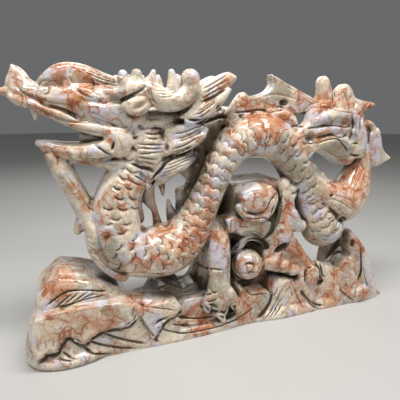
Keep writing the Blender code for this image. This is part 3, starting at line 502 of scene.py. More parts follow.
# Carved lines, each row as a width, a depth and one or more lines, and each line as the places that it runs
# through, as (along, up) on the picture's plane. A depth below nothing is a raised line.
headLines = [
    (2.8, 1.1, [(-183.5, 252), (-184, 247), (-182, 243), (-178, 240), (-172, 237), (-165, 235.5),
                (-158, 234), (-150, 233), (-142, 231)]),
    (2.6, 1.3, [(-180, 241), (-172, 238), (-166, 233), (-158, 231), (-150, 228.5), (-146, 226),
                (-140, 221.5), (-134, 220.5)],
     [(-176, 232), (-168, 228), (-160, 223), (-152, 220), (-146, 219), (-138, 219), (-130, 219)]),
    (1.5, 0.8, [(-132, 223), (-125, 221), (-118, 218.5), (-112, 216), (-104, 214), (-97, 214)]),
    (2.2, 1.0, [(-160, 219), (-150, 215.5), (-140, 212), (-130, 210.5), (-120, 209)]),
    (2.0, 1.1, [(-160, 252), (-164, 251.5), (-168, 249), (-170, 245.5)],
     [(-160.5, 246), (-162, 242), (-165.5, 241)]),
    (2.6, -1.2, [(-155, 246), (-153, 254), (-147, 256.5), (-141, 254), (-138, 249)]),
    (2.6, 1.7, [(-142, 248), (-138, 244), (-134, 241.5), (-128, 239), (-124, 240)]),
    (2.6, 1.1, [(-129, 256), (-126, 250), (-126, 244), (-124, 240)]),
    (3.0, 1.0, [(-143, 262), (-144, 256), (-143, 250)]),
    (7.5, 2.0, [(-136, 236), (-128, 236), (-120, 235), (-113, 236), (-105, 238)]),
    (1.8, 0.9, [(-130, 264), (-118, 259), (-104, 254)], [(-131, 261), (-118, 256), (-103, 252)],
     [(-130, 258), (-118, 253.5), (-104, 250.5)]),
    (1.8, 0.8, [(-128, 255), (-120, 251), (-110, 249.5)], [(-126, 266), (-114, 261.5), (-101, 256)]),
    (3.0, 2.6, [(-112.5, 201.5), (-114, 194.5)]),
    (1.8, 0.7, [(-108, 203), (-105.5, 198), (-106, 192)]),
    (2.8, 2.2, [(-129, 199.5), (-125, 196.5), (-121, 193), (-117, 190.5), (-113, 188)]),
    (2.0, 1.3, [(-138, 187.5), (-133, 187), (-127, 186.5), (-122, 187), (-117, 188)]),
    (2.2, 0.9, [(-153, 172), (-147, 162), (-142, 152), (-137, 144), (-132, 139)]),
    (3.4, -1.5, [(-99, 228), (-94, 234), (-87, 238), (-80, 240.5), (-77.5, 236), (-80, 229), (-85, 224.5),
                 (-92, 223.5), (-97, 225.5)]),
    (3.2, 2.0, [(-105, 236), (-95, 241), (-86, 246), (-81, 250)]),
    (2.8, 1.6, [(-104, 229), (-98, 224), (-90, 223.5), (-82, 229)]),
    (2.6, 1.5, [(-81, 250), (-79, 240), (-78, 232)]),
    (2.4, 1.2, [(-78, 248), (-77, 240), (-74, 235), (-68, 232)]),
    (1.6, 0.6, [(-76, 245.5), (-66, 245), (-55, 247)], [(-75, 243), (-62, 242.5), (-52, 245)],
     [(-74, 240.5), (-63, 240), (-54, 242.5)]),
]
maneLines = [
    # ribs of the cheek
    (2.2, 1.3, [(-92, 212.5), (-82, 213.5), (-72, 212.5), (-67, 210)],
     [(-85, 208.5), (-76, 208), (-68, 209)], [(-83, 204), (-76, 203.5), (-70, 203.5)],
     [(-92, 199), (-84, 198.5), (-76, 198), (-67, 197.5)],
     [(-92, 195), (-85, 195), (-78, 194), (-68, 194.5)],
     [(-93, 190.5), (-86, 190), (-79, 190.5), (-68, 191)],
     [(-94, 187.5), (-86, 186), (-78, 184.5), (-72, 184)], [(-90, 183.5), (-82, 181), (-75, 179)],
     [(-103, 169), (-96, 164), (-88, 160)], [(-99, 172), (-91, 168), (-84, 163), (-81, 162)]),
    (3.2, 2.2, [(-100, 181.5), (-95, 181), (-90, 178), (-82, 176), (-76, 173)]),
    (4.2, 3.0, [(-39, 195), (-45, 191), (-52, 188), (-60, 186), (-66, 182), (-70, 176), (-75, 170),
                (-79, 163), (-81, 158)]),
    # flutes of the locks
    (2.2, 1.0, [(-30, 247.5), (-22, 251), (-12, 256.5), (-4, 261)],
     [(-28, 243), (-20, 248), (-12, 252), (-5, 256)], [(-30, 239), (-20, 244), (-12, 248), (-5, 250)],
     [(-66, 177.5), (-57, 180.5), (-48, 184), (-40, 187)],
     [(-68, 174), (-58, 177), (-48, 181), (-40, 184.5)],
     [(-72, 170), (-64, 172), (-55, 175.5), (-48, 178)]),
    (2.8, 1.8, [(-30, 236), (-20, 240.5), (-12, 245), (-6, 248.5)]),
    (2.0, 1.0, [(-36, 228), (-28, 231), (-20, 237), (-12, 243.5)],
     [(-38, 224), (-30, 227), (-22, 232), (-15, 238)]),
    (2.0, 0.9, [(-34, 221.5), (-27, 224.5), (-20, 230)], [(-76, 168), (-68, 168.5), (-58, 171)]),
    (3.4, 2.5, [(-45, 221), (-35, 219), (-25, 218.5), (-12, 222), (-4, 222.5)]),
    (2.2, 1.1, [(-58, 207), (-48, 208.5), (-38, 212), (-29, 216)],
     [(-55, 202.5), (-46, 205), (-37, 208.5), (-29, 212.5)],
     [(-54, 200), (-44, 203), (-35, 207), (-27, 211)], [(-58, 190), (-48, 192.5), (-40, 196)]),
    (2.4, 1.2, [(-60, 193.5), (-50, 195.5), (-40, 200), (-33, 203.5)]),
]
bodyLines = [
    # plates of the throat and belly, and the hatching on its rim
    (2.2, 1.0, [(-139, 108), (-133, 98), (-127, 88), (-118, 80), (-107, 75), (-95, 74), (-80, 70),
                (-62, 68)]),
    (2.0, 0.8, [(-133, 125), (-131, 112), (-129, 100), (-124, 90), (-115, 83), (-104, 77)]),
    (1.6, 0.7, [(-142, 118), (-136, 113)], [(-142, 113), (-135, 107)], [(-141, 108), (-133, 101)],
     [(-138, 101), (-131, 95)]),
    # short cuts on the rise and on the heel
    (2.2, 1.2, [(-24, 133), (-20, 129), (-19, 124)], [(-26, 122), (-23, 118), (-23, 113)]),
    (2.0, 1.1, [(-33, 92), (-29, 89), (-28, 84)], [(-15, 143), (-11, 140), (-9, 136)],
     [(-14, 153), (-10, 150), (-8, 146)], [(-9, 166), (-5, 163), (-4, 159)]),
    (2.2, 1.3, [(103, 105), (107, 103), (111, 103.5)], [(112, 93.5), (116, 91.5), (120, 92)],
     [(123, 98.5), (127, 96.5), (131, 97)], [(114, 106.5), (118, 104.5), (122, 105)],
     [(104, 94), (107, 92), (111, 92)], [(105, 84.5), (108, 82.5), (112, 82.5)],
     [(121, 81), (125, 79.5), (129, 80)], [(134, 88), (137, 86.5), (141, 87.5)],
     [(126, 107), (129, 105.5), (133, 106.5)], [(100, 129), (104, 130.5), (108, 130)]),
    (3.2, 2.5, [(126, 121), (131, 116), (138, 110), (142, 103), (142, 96)]),
    (2.0, 0.9, [(126, 131), (138, 127), (150, 121), (160, 114)],
     [(128, 124), (138, 119), (147, 112), (153, 107)], [(133, 134), (148, 130), (160, 124), (168, 116)]),
    (2.0, 0.8, [(150, 138), (157, 147), (161, 158), (163, 170)], [(158, 136), (166, 147), (171, 160)]),
]
finLines = [
    (2.4, 1.5, [(3, 226), (20, 227.5), (32, 229), (45, 227), (52, 230)]),
    (4.2, 3.0, [(50, 229), (60, 232)]),
    (3.2, 2.0, [(86, 193), (92, 194.5), (99, 193.5)]),
    (2.6, 1.8, [(70, 212.5), (77, 213), (85, 212.5)]),
    (2.4, 1.6, [(88, 210), (100, 211), (112, 213), (125, 213), (140, 211), (148, 214)],
     [(100, 199), (110, 201.5), (122, 203), (134, 200), (143, 203)],
     [(104, 193), (115, 197), (130, 198), (140, 190), (147, 182)]),
    (3.2, 2.1, [(148, 228), (149, 218), (150, 208), (147, 196)]),
    (3.0, 1.9, [(162, 225), (160, 215), (161, 205)]),
    (3.0, 2.4, [(150, 181), (157, 178.5), (165, 178)]),
    (2.2, 1.1, [(150, 190), (155, 193), (160, 191)]),
    (2.6, 1.5, [(120, 248), (120, 240), (121, 230)], [(150, 238), (150, 228)]),
    (2.2, 1.2, [(163, 225), (168, 230), (173, 236)], [(160, 226), (165, 233), (170, 238)]),
    (1.6, 0.9, [(90, 231), (110, 232), (130, 228), (150, 226), (165, 225)]),
    (2.0, 0.7, [(60, 252), (75, 247), (92, 240), (108, 233)]),
    (2.0, 0.6, [(30, 240), (45, 244), (60, 243), (75, 239)]),
    (1.8, 0.6, [(113, 261), (114, 250), (115, 240)], [(143, 253), (143, 244), (142, 236)]),
]
hollowLines = [
    # curled shell, pearl and what lies round them
    (2.8, 2.1, [(14, 131), (20, 125), (30, 121.5), (40, 122), (46, 127), (50, 135), (54, 141)]),
    (2.2, 1.2, [(42, 127), (43, 131), (40, 134)], [(13, 108), (20, 108.5), (24, 107)]),
    (3.2, 2.5, [(55, 142), (59, 135), (61, 125), (58, 112), (52, 100), (43, 92)]),
    (2.2, 1.5, [(12, 120), (22, 117), (32, 115.5), (42, 116), (50, 112)]),
    (2.4, 1.4, [(15, 97), (18, 101), (26, 102), (36, 99), (42, 93)]),
    (5.5, 4.0, [(22, 92), (34, 92), (44, 86), (48, 80)]),
    (6.0, 4.0, [(4, 76), (3, 62), (7, 48)]),
    (3.4, 3.0, [(8, 78), (6, 70), (8, 60), (13, 52), (20, 48)]),
    (2.0, 1.1, [(12, 73), (15, 78), (22, 80), (32, 79), (38, 74), (40, 66)]),
    (3.2, 2.2, [(20, 62), (23, 66), (30, 65), (35, 60), (36, 56)], [(22, 53), (28, 54), (36, 52)]),
    # leg and toes
    (2.8, 2.0, [(-35, 76), (-28, 69), (-14, 64.5), (-4, 62)]),
    (2.8, 2.1, [(-20, 43), (-17, 39), (-11, 37)], [(-27, 38), (-22, 37.5), (-18, 38)],
     [(-24, 28), (-18, 28), (-12, 29)], [(-22, 25), (-16, 22), (-11, 18)]),
    (3.2, 2.6, [(-30, 28), (-26, 22), (-20, 17), (-12, 13), (-8, 11)]),
    (4.4, 3.4, [(-8, 14), (0, 10), (8, 13), (12, 18)]),
    (2.6, 2.0, [(17, 40), (23, 35), (29, 29), (35, 26), (45, 26), (55, 25)]),
    (3.2, 2.5, [(48, 52), (56, 51), (66, 48), (80, 44)]),
]

# The lines of the base are drawn on the base's own plane.
baseLines = [
    # braid
    (2.4, 1.9, [(-180, 62), (-172, 68), (-163, 72.5), (-155, 73), (-145, 71.5), (-137, 69.5),
                (-127, 67.5)]),
    (2.0, 1.4, [(-172, 60), (-162, 60), (-152, 62), (-142, 63), (-130, 63.5)], [(-144, 64.5), (-137, 67)]),
    (2.0, 1.5, [(-171, 60), (-165, 65), (-158, 70)], [(-165, 61), (-158, 66), (-151, 70.5)],
     [(-157, 62), (-150, 66.5), (-144, 70)], [(-150, 63), (-144, 66), (-138, 68.5)]),
    # shadow under the torn edge of the foam
    (4.2, 2.6, [(-193, 9), (-188, 10), (-183, 13.5), (-175.5, 12.5), (-171, 20), (-164, 26), (-158, 20.5),
                (-151, 15), (-145, 21), (-136, 24.5), (-124, 25.5), (-112, 25.5), (-105, 30), (-101, 40)]),
    (3.6, 2.2, [(-56.5, 34), (-62.5, 27), (-72, 23.5), (-79, 15.5), (-85, 4)]),
    (2.2, 1.4, [(-104, 47), (-105, 40), (-106, 33)]),
    (1.6, 0.8, [(-131, 94), (-128, 90)]),
    # waves on the left
    (3.6, 2.4, [(-160, 27), (-154, 18), (-146, 8), (-137, 3), (-127, 1)],
     [(-148, 21), (-140, 15), (-130, 10), (-118, 5), (-104, 1)],
     [(-137, 27), (-128, 21), (-118, 15), (-106, 9), (-94, 4)]),
    (3.2, 2.2, [(-127, 28), (-120, 25), (-113, 22)]),
    (3.6, 2.5, [(-99, 36), (-96, 28), (-91, 18), (-85, 8), (-80, 1)]),
    (2.8, 1.8, [(-176, 10), (-170, 6), (-162, 2)], [(-172, 16), (-165, 8), (-158, 2)]),
    (4.2, 3.0, [(-84, 22), (-80, 26), (-72, 27), (-65, 27)]),
    (2.0, 1.3, [(-100, 50), (-92, 45), (-82, 41), (-70, 37), (-64, 34)]),
    (2.0, 1.1, [(-191, 28), (-190, 18)], [(-184, 28), (-184, 19)], [(-177, 28), (-178, 20)]),
    (1.8, 1.2, [(-66, 44), (-63, 42)], [(-69, 47), (-66, 46)]),
    # long flowing lines of the middle
    (2.6, 1.8, [(-66, 30), (-62, 28), (-54, 25), (-46, 22.5), (-40, 21), (-30, 20), (-22, 19.5)],
     [(-68, 20), (-60, 17.5), (-54, 16), (-46, 14.5), (-38, 14.5), (-30, 14)],
     [(-82, 20), (-76, 16), (-70, 12.5), (-60, 8.5), (-52, 6.5), (-38, 5.2), (-20, 5.5), (-12, 6.5),
      (-4, 8), (4, 10), (12, 12.5), (20, 16.5), (27, 20.5)]),
    (2.6, 2.0, [(-37, 36), (-33, 31), (-28, 28), (-20, 25), (-12, 22)]),
    (4.2, 3.2, [(-18, 22), (-10, 21), (-4, 23), (4, 27)], [(-16, 18), (-10, 15), (2, 18)]),
    (2.4, 1.8, [(-27, 52), (-24, 48), (-18, 45)], [(-30, 37), (-24, 37.5), (-20, 37)],
     [(-27, 35), (-22, 31), (-18, 28)]),
    (2.2, 1.5, [(-32, 47), (-28, 46)], [(-23, 34), (-18, 30)]),
    (2.8, 2.0, [(8, 48), (14, 44), (20, 38), (24, 36), (32, 36), (42, 34), (46, 34)]),
    (5.5, 3.2, [(46, 34), (46, 28), (44, 20), (38, 12), (30, 4)]),
    (2.2, 1.4, [(56, 40), (52, 33), (48, 26)], [(60, 35), (56, 26), (50, 15), (42, 4), (40, 1)],
     [(64, 25), (58, 20), (50, 8), (45, 1)], [(62, 18), (56, 9), (51, 2)], [(65, 8), (62, 2)]),
    # right end
    (2.6, 2.0, [(90, 57), (89, 50), (90, 42), (91, 36)], [(110, 62), (110, 53), (113, 44), (115, 40)]),
    (4.4, 3.0, [(85, 30), (90, 22), (98, 13), (106, 5), (112, 0)], [(100, 12), (110, 7), (120, 3)]),
    (2.2, 1.4, [(70, 45), (75, 35), (80, 25), (84, 17), (92, 5)],
     [(140, 22), (148, 14), (155, 8), (162, 3), (166, 1)]),
    (3.4, 2.2, [(166, 76), (167, 68), (168, 58), (169, 50), (170, 40), (168, 30), (167, 25)]),
    (2.4, 1.6, [(166, 18), (166, 10), (167, 3)]),
    (2.4, 1.3, [(173, 45), (176, 35), (180, 25), (185, 15)]),
]

# Scooped hollows: place, half width, half height, turn in degrees and depth. Those of the head are
# repeated on its far side, and those of the base are drawn on its own plane.
headHollows = [
    (-151, 250.5, 6.5, 5.5, 0, 1.6), (-153.5, 252, 2.2, 2.2, 0, 1.5), (-88, 232.5, 8, 3.4, 30, 2.8),
    (-43, 248, 7, 10, 0, 2.5), (-64.5, 195, 2.4, 5, 0, 3),
]
hollows = [
    (-35, 192, 4, 5, 0, 3), (-34, 180, 3.6, 4, 0, 3), (-27, 173, 3.2, 4, 0, 3), (-24, 187, 3.2, 4, 0, 3),
    (-12, 230, 4, 4, 0, 2.5), (-42, 156, 4, 4, 0, 3), (-88, 119, 4, 5, 0, 3.5), (-67, 122, 4, 5, 0, 3.5),
    (-55, 138, 4, 5, 0, 3), (-44, 155, 4, 5, 0, 3), (59, 236, 6, 4, 0, 5), (94, 200, 7, 6, 0, 4),
    (130, 134, 4, 2.6, 0, 3), (119, 125, 2.8, 2.4, 0, 2), (128, 115, 2.8, 2.4, 0, 2), (54, 121, 4, 9, 0, 4),
    (7, 90, 6, 8, 0, 5), (22, 44, 12, 5, 0, 4), (66, 78, 10, 5, 25, 8), (148, 103, 6, 4, 0, 4),
]
baseHollows = [
    (-109, 28, 5, 4, 0, 3), (57, 55, 4, 3, 0, 3), (59, 85, 12, 4, 25, 6), (95, 56, 5, 2.2, 0, 3),
    (111, 36, 5, 4, 0, 3.5), (152, 78, 4, 6, 0, 4), (130, 62, 16, 10, 0, 3),
]

# Scale edges on the front of the neck, as place and width. Everywhere else the scales stand in rows.
neckScales = [
    (-121, 141.5, 8), (-107, 139.5, 9), (-96, 140, 6), (-110, 150, 7), (-97, 149, 7), (-114, 131, 9),
    (-121, 127, 5), (-104, 125, 6), (-109, 117, 9), (-124, 115, 6), (-113, 102, 8), (-100, 101.5, 9),
    (-97, 110, 7), (-99, 91, 8), (-118, 94, 6), (-114, 83, 6), (-99, 79, 7), (-83, 83, 8), (-66, 86, 8),
    (-54, 80, 8), (-88, 94, 9), (-75, 92, 9), (-62, 98, 9), (-86, 106, 8), (-72, 105, 9), (-52, 92, 9),
    (-58, 108, 8), (-44, 100, 9), (-46, 115, 8), (-71, 76, 7), (-112, 160, 6), (-101, 159, 6),
]
archScales = [
    (54, 197, 11), (64, 199, 11), (76, 195, 11), (82, 183, 11), (73, 167, 14), (88, 166, 7), (84, 153, 13),
    (97, 157, 8), (104, 147, 7), (94, 142, 12), (74, 183, 10), (44, 200, 9), (60, 186, 9), (92, 175, 8),
    (100, 136, 9), (66, 176, 9), (80, 142, 8),
]


def drawnPlaces():
    # The stone's points in the drawing's millimetres, with their outward directions.
    verts = stone.data.vertices
    places = np.empty(len(verts) * 3, np.float32)
    outward = np.empty(len(verts) * 3, np.float32)
    verts.foreach_get("co", places)
    stone.data.vertex_normals.foreach_get("vector", outward)
    return places.reshape(-1, 3).astype(float) / mm, outward.reshape(-1, 3).astype(float)


def softenDirections(outward, rounds):
    edges = np.empty(len(stone.data.edges) * 2, np.int32)
    stone.data.edges.foreach_get("vertices", edges)
    a, b = edges.reshape(-1, 2).T
    count = len(outward)
    for _ in range(rounds):
        total = np.stack([np.bincount(a, outward[b, k], count) + np.bincount(b, outward[a, k], count)
                          for k in range(3)], axis=1) + outward
        outward = total / np.maximum(np.linalg.norm(total, axis=1), 1e-9)[:, None]
    return outward


def facing(places, outward, side=1):
    # How squarely each point faces the picture's side, nothing where something else stands in front.
    # The far side is looked at from the mirrored place.
    if side < 0:
        y = 2 * middleOfHead - eye["y"]
    else:
        y = eye["y"]
    toEye = np.array([eye["x"], y, eye["z"]]) - places
    toEye /= np.linalg.norm(toEye, axis=1)[:, None]
    square = np.einsum("ij,ij->i", toEye, outward)
    clearOfSkin, lookAhead = 0.7, 600    # mm
    tree = BVHTree.FromObject(stone, bpy.context.evaluated_depsgraph_get())
    for i in np.nonzero(square > 0.05)[0]:
        start = Vector((places[i] + outward[i] * clearOfSkin) * mm)
        if tree.ray_cast(start, Vector(toEye[i]), lookAhead * mm)[0] is not None:
            square[i] = 0
    return np.clip((square - 0.06) / 0.2, 0, 1)


def onDrawing(places, side=1):
    # Where each point is seen on the upright plane that the lines are drawn on.
    y = places[:, 1] if side > 0 else 2 * middleOfHead - places[:, 1]
    share = (picturePlane - eye["y"]) / (y - eye["y"])
    return np.stack([eye["x"] + (places[:, 0] - eye["x"]) * share,
                     eye["z"] + (places[:, 2] - eye["z"]) * share], axis=1)


def fromBasePlane(points):
    # Places drawn on the base's plane, as they are seen on the picture's plane.
    share = (picturePlane - eye["y"]) / (basePlane - eye["y"])
    points = np.array(points, float)
    points[:, 0] = eye["x"] + (points[:, 0] - eye["x"]) * share
    points[:, 1] = eye["z"] + (points[:, 1] - eye["z"]) * share
    return points


def crescent(beyond, aside, halfTurn, fade, ease):
    # A scale's cut: full depth at its free edge, steep within it, easing out beyond it and at both ends.
    ends = np.clip((math.radians(halfTurn) - aside) / math.radians(fade), 0, 1)
    outside = np.clip(1 - beyond / ease, 0, 1) ** 1.5
    return np.where(beyond > 0, outside, np.clip(1 + beyond / 0.9, 0, 1)) * ends, ends


class CarvingSheet:
    # All seen points, sorted along the stone, so that each line only asks those near it. cut and raised are
    # depths in mm, and line is how strongly the bottom of a cut is darkened: painted shade, with some dirt.
    def __init__(self, flat, seen):
        self.chosen = np.nonzero(seen > 0)[0]
        self.chosen = self.chosen[np.argsort(flat[self.chosen, 0])]
        self.flat = flat[self.chosen]
        self.cut = np.zeros(len(flat))
        self.line = np.zeros(len(flat))
        self.raised = np.zeros(len(flat))

    def near(self, points, reach):
        first = np.searchsorted(self.flat[:, 0], points[:, 0].min() - reach)
        final = np.searchsorted(self.flat[:, 0], points[:, 0].max() + reach)
        z = self.flat[first:final, 1]
        rows = np.nonzero((z > points[:, 1].min() - reach) & (z < points[:, 1].max() + reach))[0] + first
        return self.chosen[rows], self.flat[rows]

    def drawLine(self, width, depth, points):
        path = smoothRoute([(x, z, 0) for x, z in points], 1.5)[:, :2]
        reach = width * 1.3 + 0.6
        rows, flat = self.near(path, reach)
        if not len(rows):
            return
        step = path[1:] - path[:-1]
        long = np.maximum(np.linalg.norm(step, axis=1), 1e-6)
        start = np.concatenate([[0], np.cumsum(long)])
        best = np.full(len(rows), 1e9)
        where = np.zeros(len(rows))
        for k in range(len(step)):
            share = np.clip((flat - path[k]) @ step[k] / long[k] ** 2, 0, 1)
            gap = np.linalg.norm(flat - path[k] - share[:, None] * step[k], axis=1)
            closer = gap < best
            best[closer] = gap[closer]
            where[closer] = start[k] + share[closer] * long[k]
        taper = min(6.0, start[-1] * 0.3)
        ends = np.clip((np.minimum(where, start[-1] - where) + 0.6) / taper, 0, 1) ** 0.7
        half = width / 2
        core = np.clip(1 - (best / half) ** 2, 0, 1) ** 1.5
        shoulder = np.clip(1 - (best / (half * 2.4)) ** 2, 0, 1) ** 2
        shape = (0.8 * core + 0.2 * shoulder) * ends * abs(depth)
        if depth > 0:
            self.cut[rows] = np.maximum(self.cut[rows], shape)
            # The cut's bottom gets painted shade.
            self.line[rows] = np.maximum(self.line[rows], core * ends * min(1, depth / 1.6, 2.6 / width))
        else:
            self.raised[rows] = np.maximum(self.raised[rows], shape)

    def drawLines(self, lines, deeper, ownPlane=False):
        for width, depth, *paths in lines:
            for points in paths:
                self.drawLine(width, depth * deeper, fromBasePlane(points) if ownPlane else points)

    def scoop(self, x, z, wide, high, turn, depth):
        rows, flat = self.near(np.array([[x, z]]), max(wide, high) * 1.3)
        c, s = math.cos(math.radians(turn)), math.sin(math.radians(turn))
        dx, dz = flat[:, 0] - x, flat[:, 1] - z
        out = np.sqrt(((dx * c + dz * s) / wide) ** 2 + ((dz * c - dx * s) / high) ** 2)
        shape = np.clip(1 - out ** 2.4, 0, 1) ** 1.2 * depth
        self.cut[rows] = np.maximum(self.cut[rows], shape)
        # The hollow's middle is darkened with painted shade.
        self.line[rows] = np.maximum(self.line[rows], np.clip(1.1 - out, 0, 1) * min(1, depth / 3))

    def scaleEdge(self, x, z, width, heading, depth=2.3):
        # One scale with its free edge at (x, z), looking along heading.
        bend = width * 0.62
        ahead = np.array([math.cos(heading), math.sin(heading)])
        centre = np.array([x, z]) - ahead * bend * 0.85
        rows, flat = self.near(centre[None, :], bend + 5)
        gap = flat - centre
        beyond = np.linalg.norm(gap, axis=1) - bend
        aside = np.abs(np.arctan2(gap[:, 1] * ahead[0] - gap[:, 0] * ahead[1], gap @ ahead))
        shape, ends = crescent(beyond, aside, 62, 22, 4.2)
        self.cut[rows] = np.maximum(self.cut[rows], shape * depth)
        # The dark crescent along the free edge is painted shadow.
        self.line[rows] = np.maximum(self.line[rows], np.clip(1 - np.abs(beyond - 0.3) / 1.3, 0, 1) * ends)


# How the rows of scales stand on the body: their spacing, depth and roundness, how far round the body they
# go before the smooth belly, in degrees, and how far from its line they are looked for.
scaleRow = {"along": 10.5, "across": 13.0, "depth": 2.0, "roundness": 0.48, "turn": 128, "reach": 32}


def scaleRows(places, keepOff):
    # Depth of the scales' edges at each point of the body. keepOff is 1 where they are drawn one by one.
    route = smoothRoute(spine, 1.5)
    centre = route[:, :3]
    step = np.gradient(centre, axis=0)
    step /= np.linalg.norm(step, axis=1)[:, None]
    start = np.concatenate([[0], np.cumsum(np.linalg.norm(np.diff(centre, axis=0), axis=1))])
    tree = KDTree(len(centre))
    for k, point in enumerate(centre):
        tree.insert(point, k)
    tree.balance()
    cut = np.zeros(len(places))
    low, high = centre.min(axis=0) - scaleRow["reach"], centre.max(axis=0) + scaleRow["reach"]
    rows = np.nonzero(np.all((places > low) & (places < high), axis=1) & (keepOff < 0.5))[0]
    nearest = np.array([tree.find(places[i])[1] for i in rows])
    radius = route[nearest, 3] * dragon["belly"] / 2
    gap = places[rows] - centre[nearest]
    ahead = step[nearest]
    along = start[nearest] + np.einsum("ij,ij->i", gap, ahead)
    wide = np.cross(ahead, np.array([0.0, 1.0, 0.0]))
    wide /= np.linalg.norm(wide, axis=1)[:, None]
    deep = np.cross(wide, ahead)
    a = np.einsum("ij,ij->i", gap, wide) / radius
    b = np.einsum("ij,ij->i", gap, deep) / radius / dragon["bodyFlat"]
    angle = np.arctan2(b, a)
    onSkin = np.clip(1 - np.abs(np.hypot(a, b) - 1.0) / 0.16, 0, 1)
    offBelly = np.clip((math.radians(scaleRow["turn"]) - np.abs(angle)) / 0.2, 0, 1)
    onBody = np.clip(onSkin * offBelly * 2, 0, 1)
    across = angle * radius
    pitch, gauge = scaleRow["along"], scaleRow["across"]
    best = np.zeros(len(rows))
    for neighbour in (-1, 0, 1):
        row = np.floor(along / pitch) + neighbour
        shift = (row % 2) * 0.5    # every second row stands half a scale over
        column = np.round(across / gauge - shift) + shift
        ds = along - (row + 0.5) * pitch
        dt = across - column * gauge
        beyond = np.hypot(ds, dt) - gauge * scaleRow["roundness"]
        best = np.maximum(best, crescent(beyond, np.abs(np.arctan2(dt, ds)), 70, 20, 4.5)[0])
    cut[rows] = best * onBody * (1 - keepOff[rows])
    return cut


def headings(points):
    # The way the body runs where each scale stands, so that its free edge looks towards the tail.
    route = smoothRoute(spine, 1.5)
    flat = onDrawing(route[:, :3])
    step = np.gradient(flat, axis=0)
    near = [np.argmin(np.hypot(flat[:, 0] - x, flat[:, 1] - z)) for x, z, _ in points]
    return [math.atan2(step[k, 1], step[k, 0]) for k in near]


# The lines are cut this much deeper than they are drawn.
deeper = {"mane": 1.5, "rest": 1.2}


def carveSurface():
    places, outward = drawnPlaces()
    outward = softenDirections(outward, 3)
    seenFront = facing(places, outward)
    flat = onDrawing(places)
    sheet = CarvingSheet(flat, seenFront)
    sheet.drawLines(headLines + bodyLines + finLines + hollowLines, deeper["rest"])
    sheet.drawLines(maneLines, deeper["mane"])
    sheet.drawLines(baseLines, deeper["rest"], ownPlane=True)
    for hollow in headHollows + hollows:
        sheet.scoop(*hollow)
    for x, z, *rest in baseHollows:
        (x, z), = fromBasePlane([(x, z)])
        sheet.scoop(x, z, *rest)
    single = neckScales + archScales
    for (x, z, width), heading in zip(single, headings(single)):
        sheet.scaleEdge(x, z, width, heading)
    # On the front of the neck and of the arch the scales are drawn one by one, so the rows stop there.
    neckFront = (flat[:, 0] < -50) & (flat[:, 1] < 165)
    archFront = (flat[:, 0] > 42) & (flat[:, 1] > 130)
    keepOff = ((neckFront | archFront) & (seenFront > 0.2)).astype(float)
    scales = scaleRows(places, keepOff)
    inward = np.maximum(sheet.cut, scales * scaleRow["depth"]) * np.where(seenFront > 0, seenFront, 1)
    inward -= sheet.raised * seenFront
    # The cuts and the scales' free edges are darkened with painted shade, with some dirt.
    lineShadeAndDirt = np.maximum(sheet.line * seenFront, scales * 0.9)
    # The far side of head and mane repeats the near one. It fades out at the mane's end and at the neck.
    beforeArch = np.clip((12 - places[:, 0]) / 8, 0, 1)
    aboveNeck = np.clip((places[:, 2] - 150) / 8, 0, 1)
    farHead = facing(places, outward, -1) * beforeArch * aboveNeck
    farSheet = CarvingSheet(onDrawing(places, -1), farHead)
    farSheet.drawLines(headLines + maneLines, deeper["rest"])
    for hollow in headHollows:
        farSheet.scoop(*hollow)
    inward = np.maximum(inward, farSheet.cut * farHead) - farSheet.raised * farHead
    lineShadeAndDirt = np.maximum(lineShadeAndDirt, farSheet.line * farHead)
    moved = (places - outward * inward[:, None]) * mm
    stone.data.vertices.foreach_set("co", moved.ravel())
    stone.data.update()
    addAttribute("carvedLineShadeAndDirt", lineShadeAndDirt)
    addAttribute("seen", seenFront)


def addAttribute(name, values):
    layer = stone.data.attributes.get(name) or stone.data.attributes.new(name, "FLOAT", "POINT")
    layer.data.foreach_set("value", np.asarray(values, np.float32))


def readAttribute(name):
    values = np.empty(len(stone.data.vertices), np.float32)
    stone.data.attributes[name].data.foreach_get("value", values)
    return values.astype(float)


carveSurface()
print("carved the lines, hollows and scales")


def thinOut():
    # The underside is cut flat, then the hidden and the seen skin are each thinned to their share.
    bpy.ops.object.mode_set(mode="EDIT")
    bpy.ops.mesh.select_all(action="SELECT")
    bpy.ops.mesh.bisect(plane_co=(0, 0, 0), plane_no=(0, 0, 1), clear_inner=True)
    bpy.ops.mesh.select_all(action="SELECT")
    bpy.ops.mesh.fill_holes(sides=0)
    bpy.ops.mesh.select_all(action="SELECT")
    bpy.ops.mesh.quads_convert_to_tris()
    bpy.ops.mesh.select_mode(type="VERT")
    bpy.ops.mesh.select_all(action="DESELECT")
    bpy.ops.object.mode_set(mode="OBJECT")
    for front in (False, True):
        count = len(stone.data.polygons)
        corners = np.empty(count * 3, np.int32)
        stone.data.polygons.foreach_get("vertices", corners)
        places = drawnPlaces()[0]
        aboveFloor = places[:, 2] > 0.02    # the flat underside and its rim stay as they are
        chosen = ((readAttribute("seen") > surface["seenFrom"]) == front) & aboveFloor
        whole = np.count_nonzero(chosen[corners.reshape(-1, 3)].all(axis=1))
        budget = surface["triangles"] - (count - whole) if front else surface["hiddenTriangles"]
        stone.data.vertices.foreach_set("select", chosen)
        bpy.ops.object.mode_set(mode="EDIT")
        bpy.ops.mesh.decimate(ratio=min(1, max(budget, 1) / max(1, whole)))
        bpy.ops.mesh.select_all(action="DESELECT")
        bpy.ops.object.mode_set(mode="OBJECT")
    bpy.ops.object.mode_set(mode="EDIT")
    bpy.ops.mesh.select_all(action="SELECT")
    bpy.ops.mesh.quads_convert_to_tris()
    bpy.ops.mesh.normals_make_consistent(inside=False)
    bpy.ops.object.mode_set(mode="OBJECT")
    bpy.ops.object.shade_smooth_by_angle(angle=math.radians(surface["smoothAngle"]))


thinOut()
print("thinned out to", len(stone.data.polygons), "triangles")
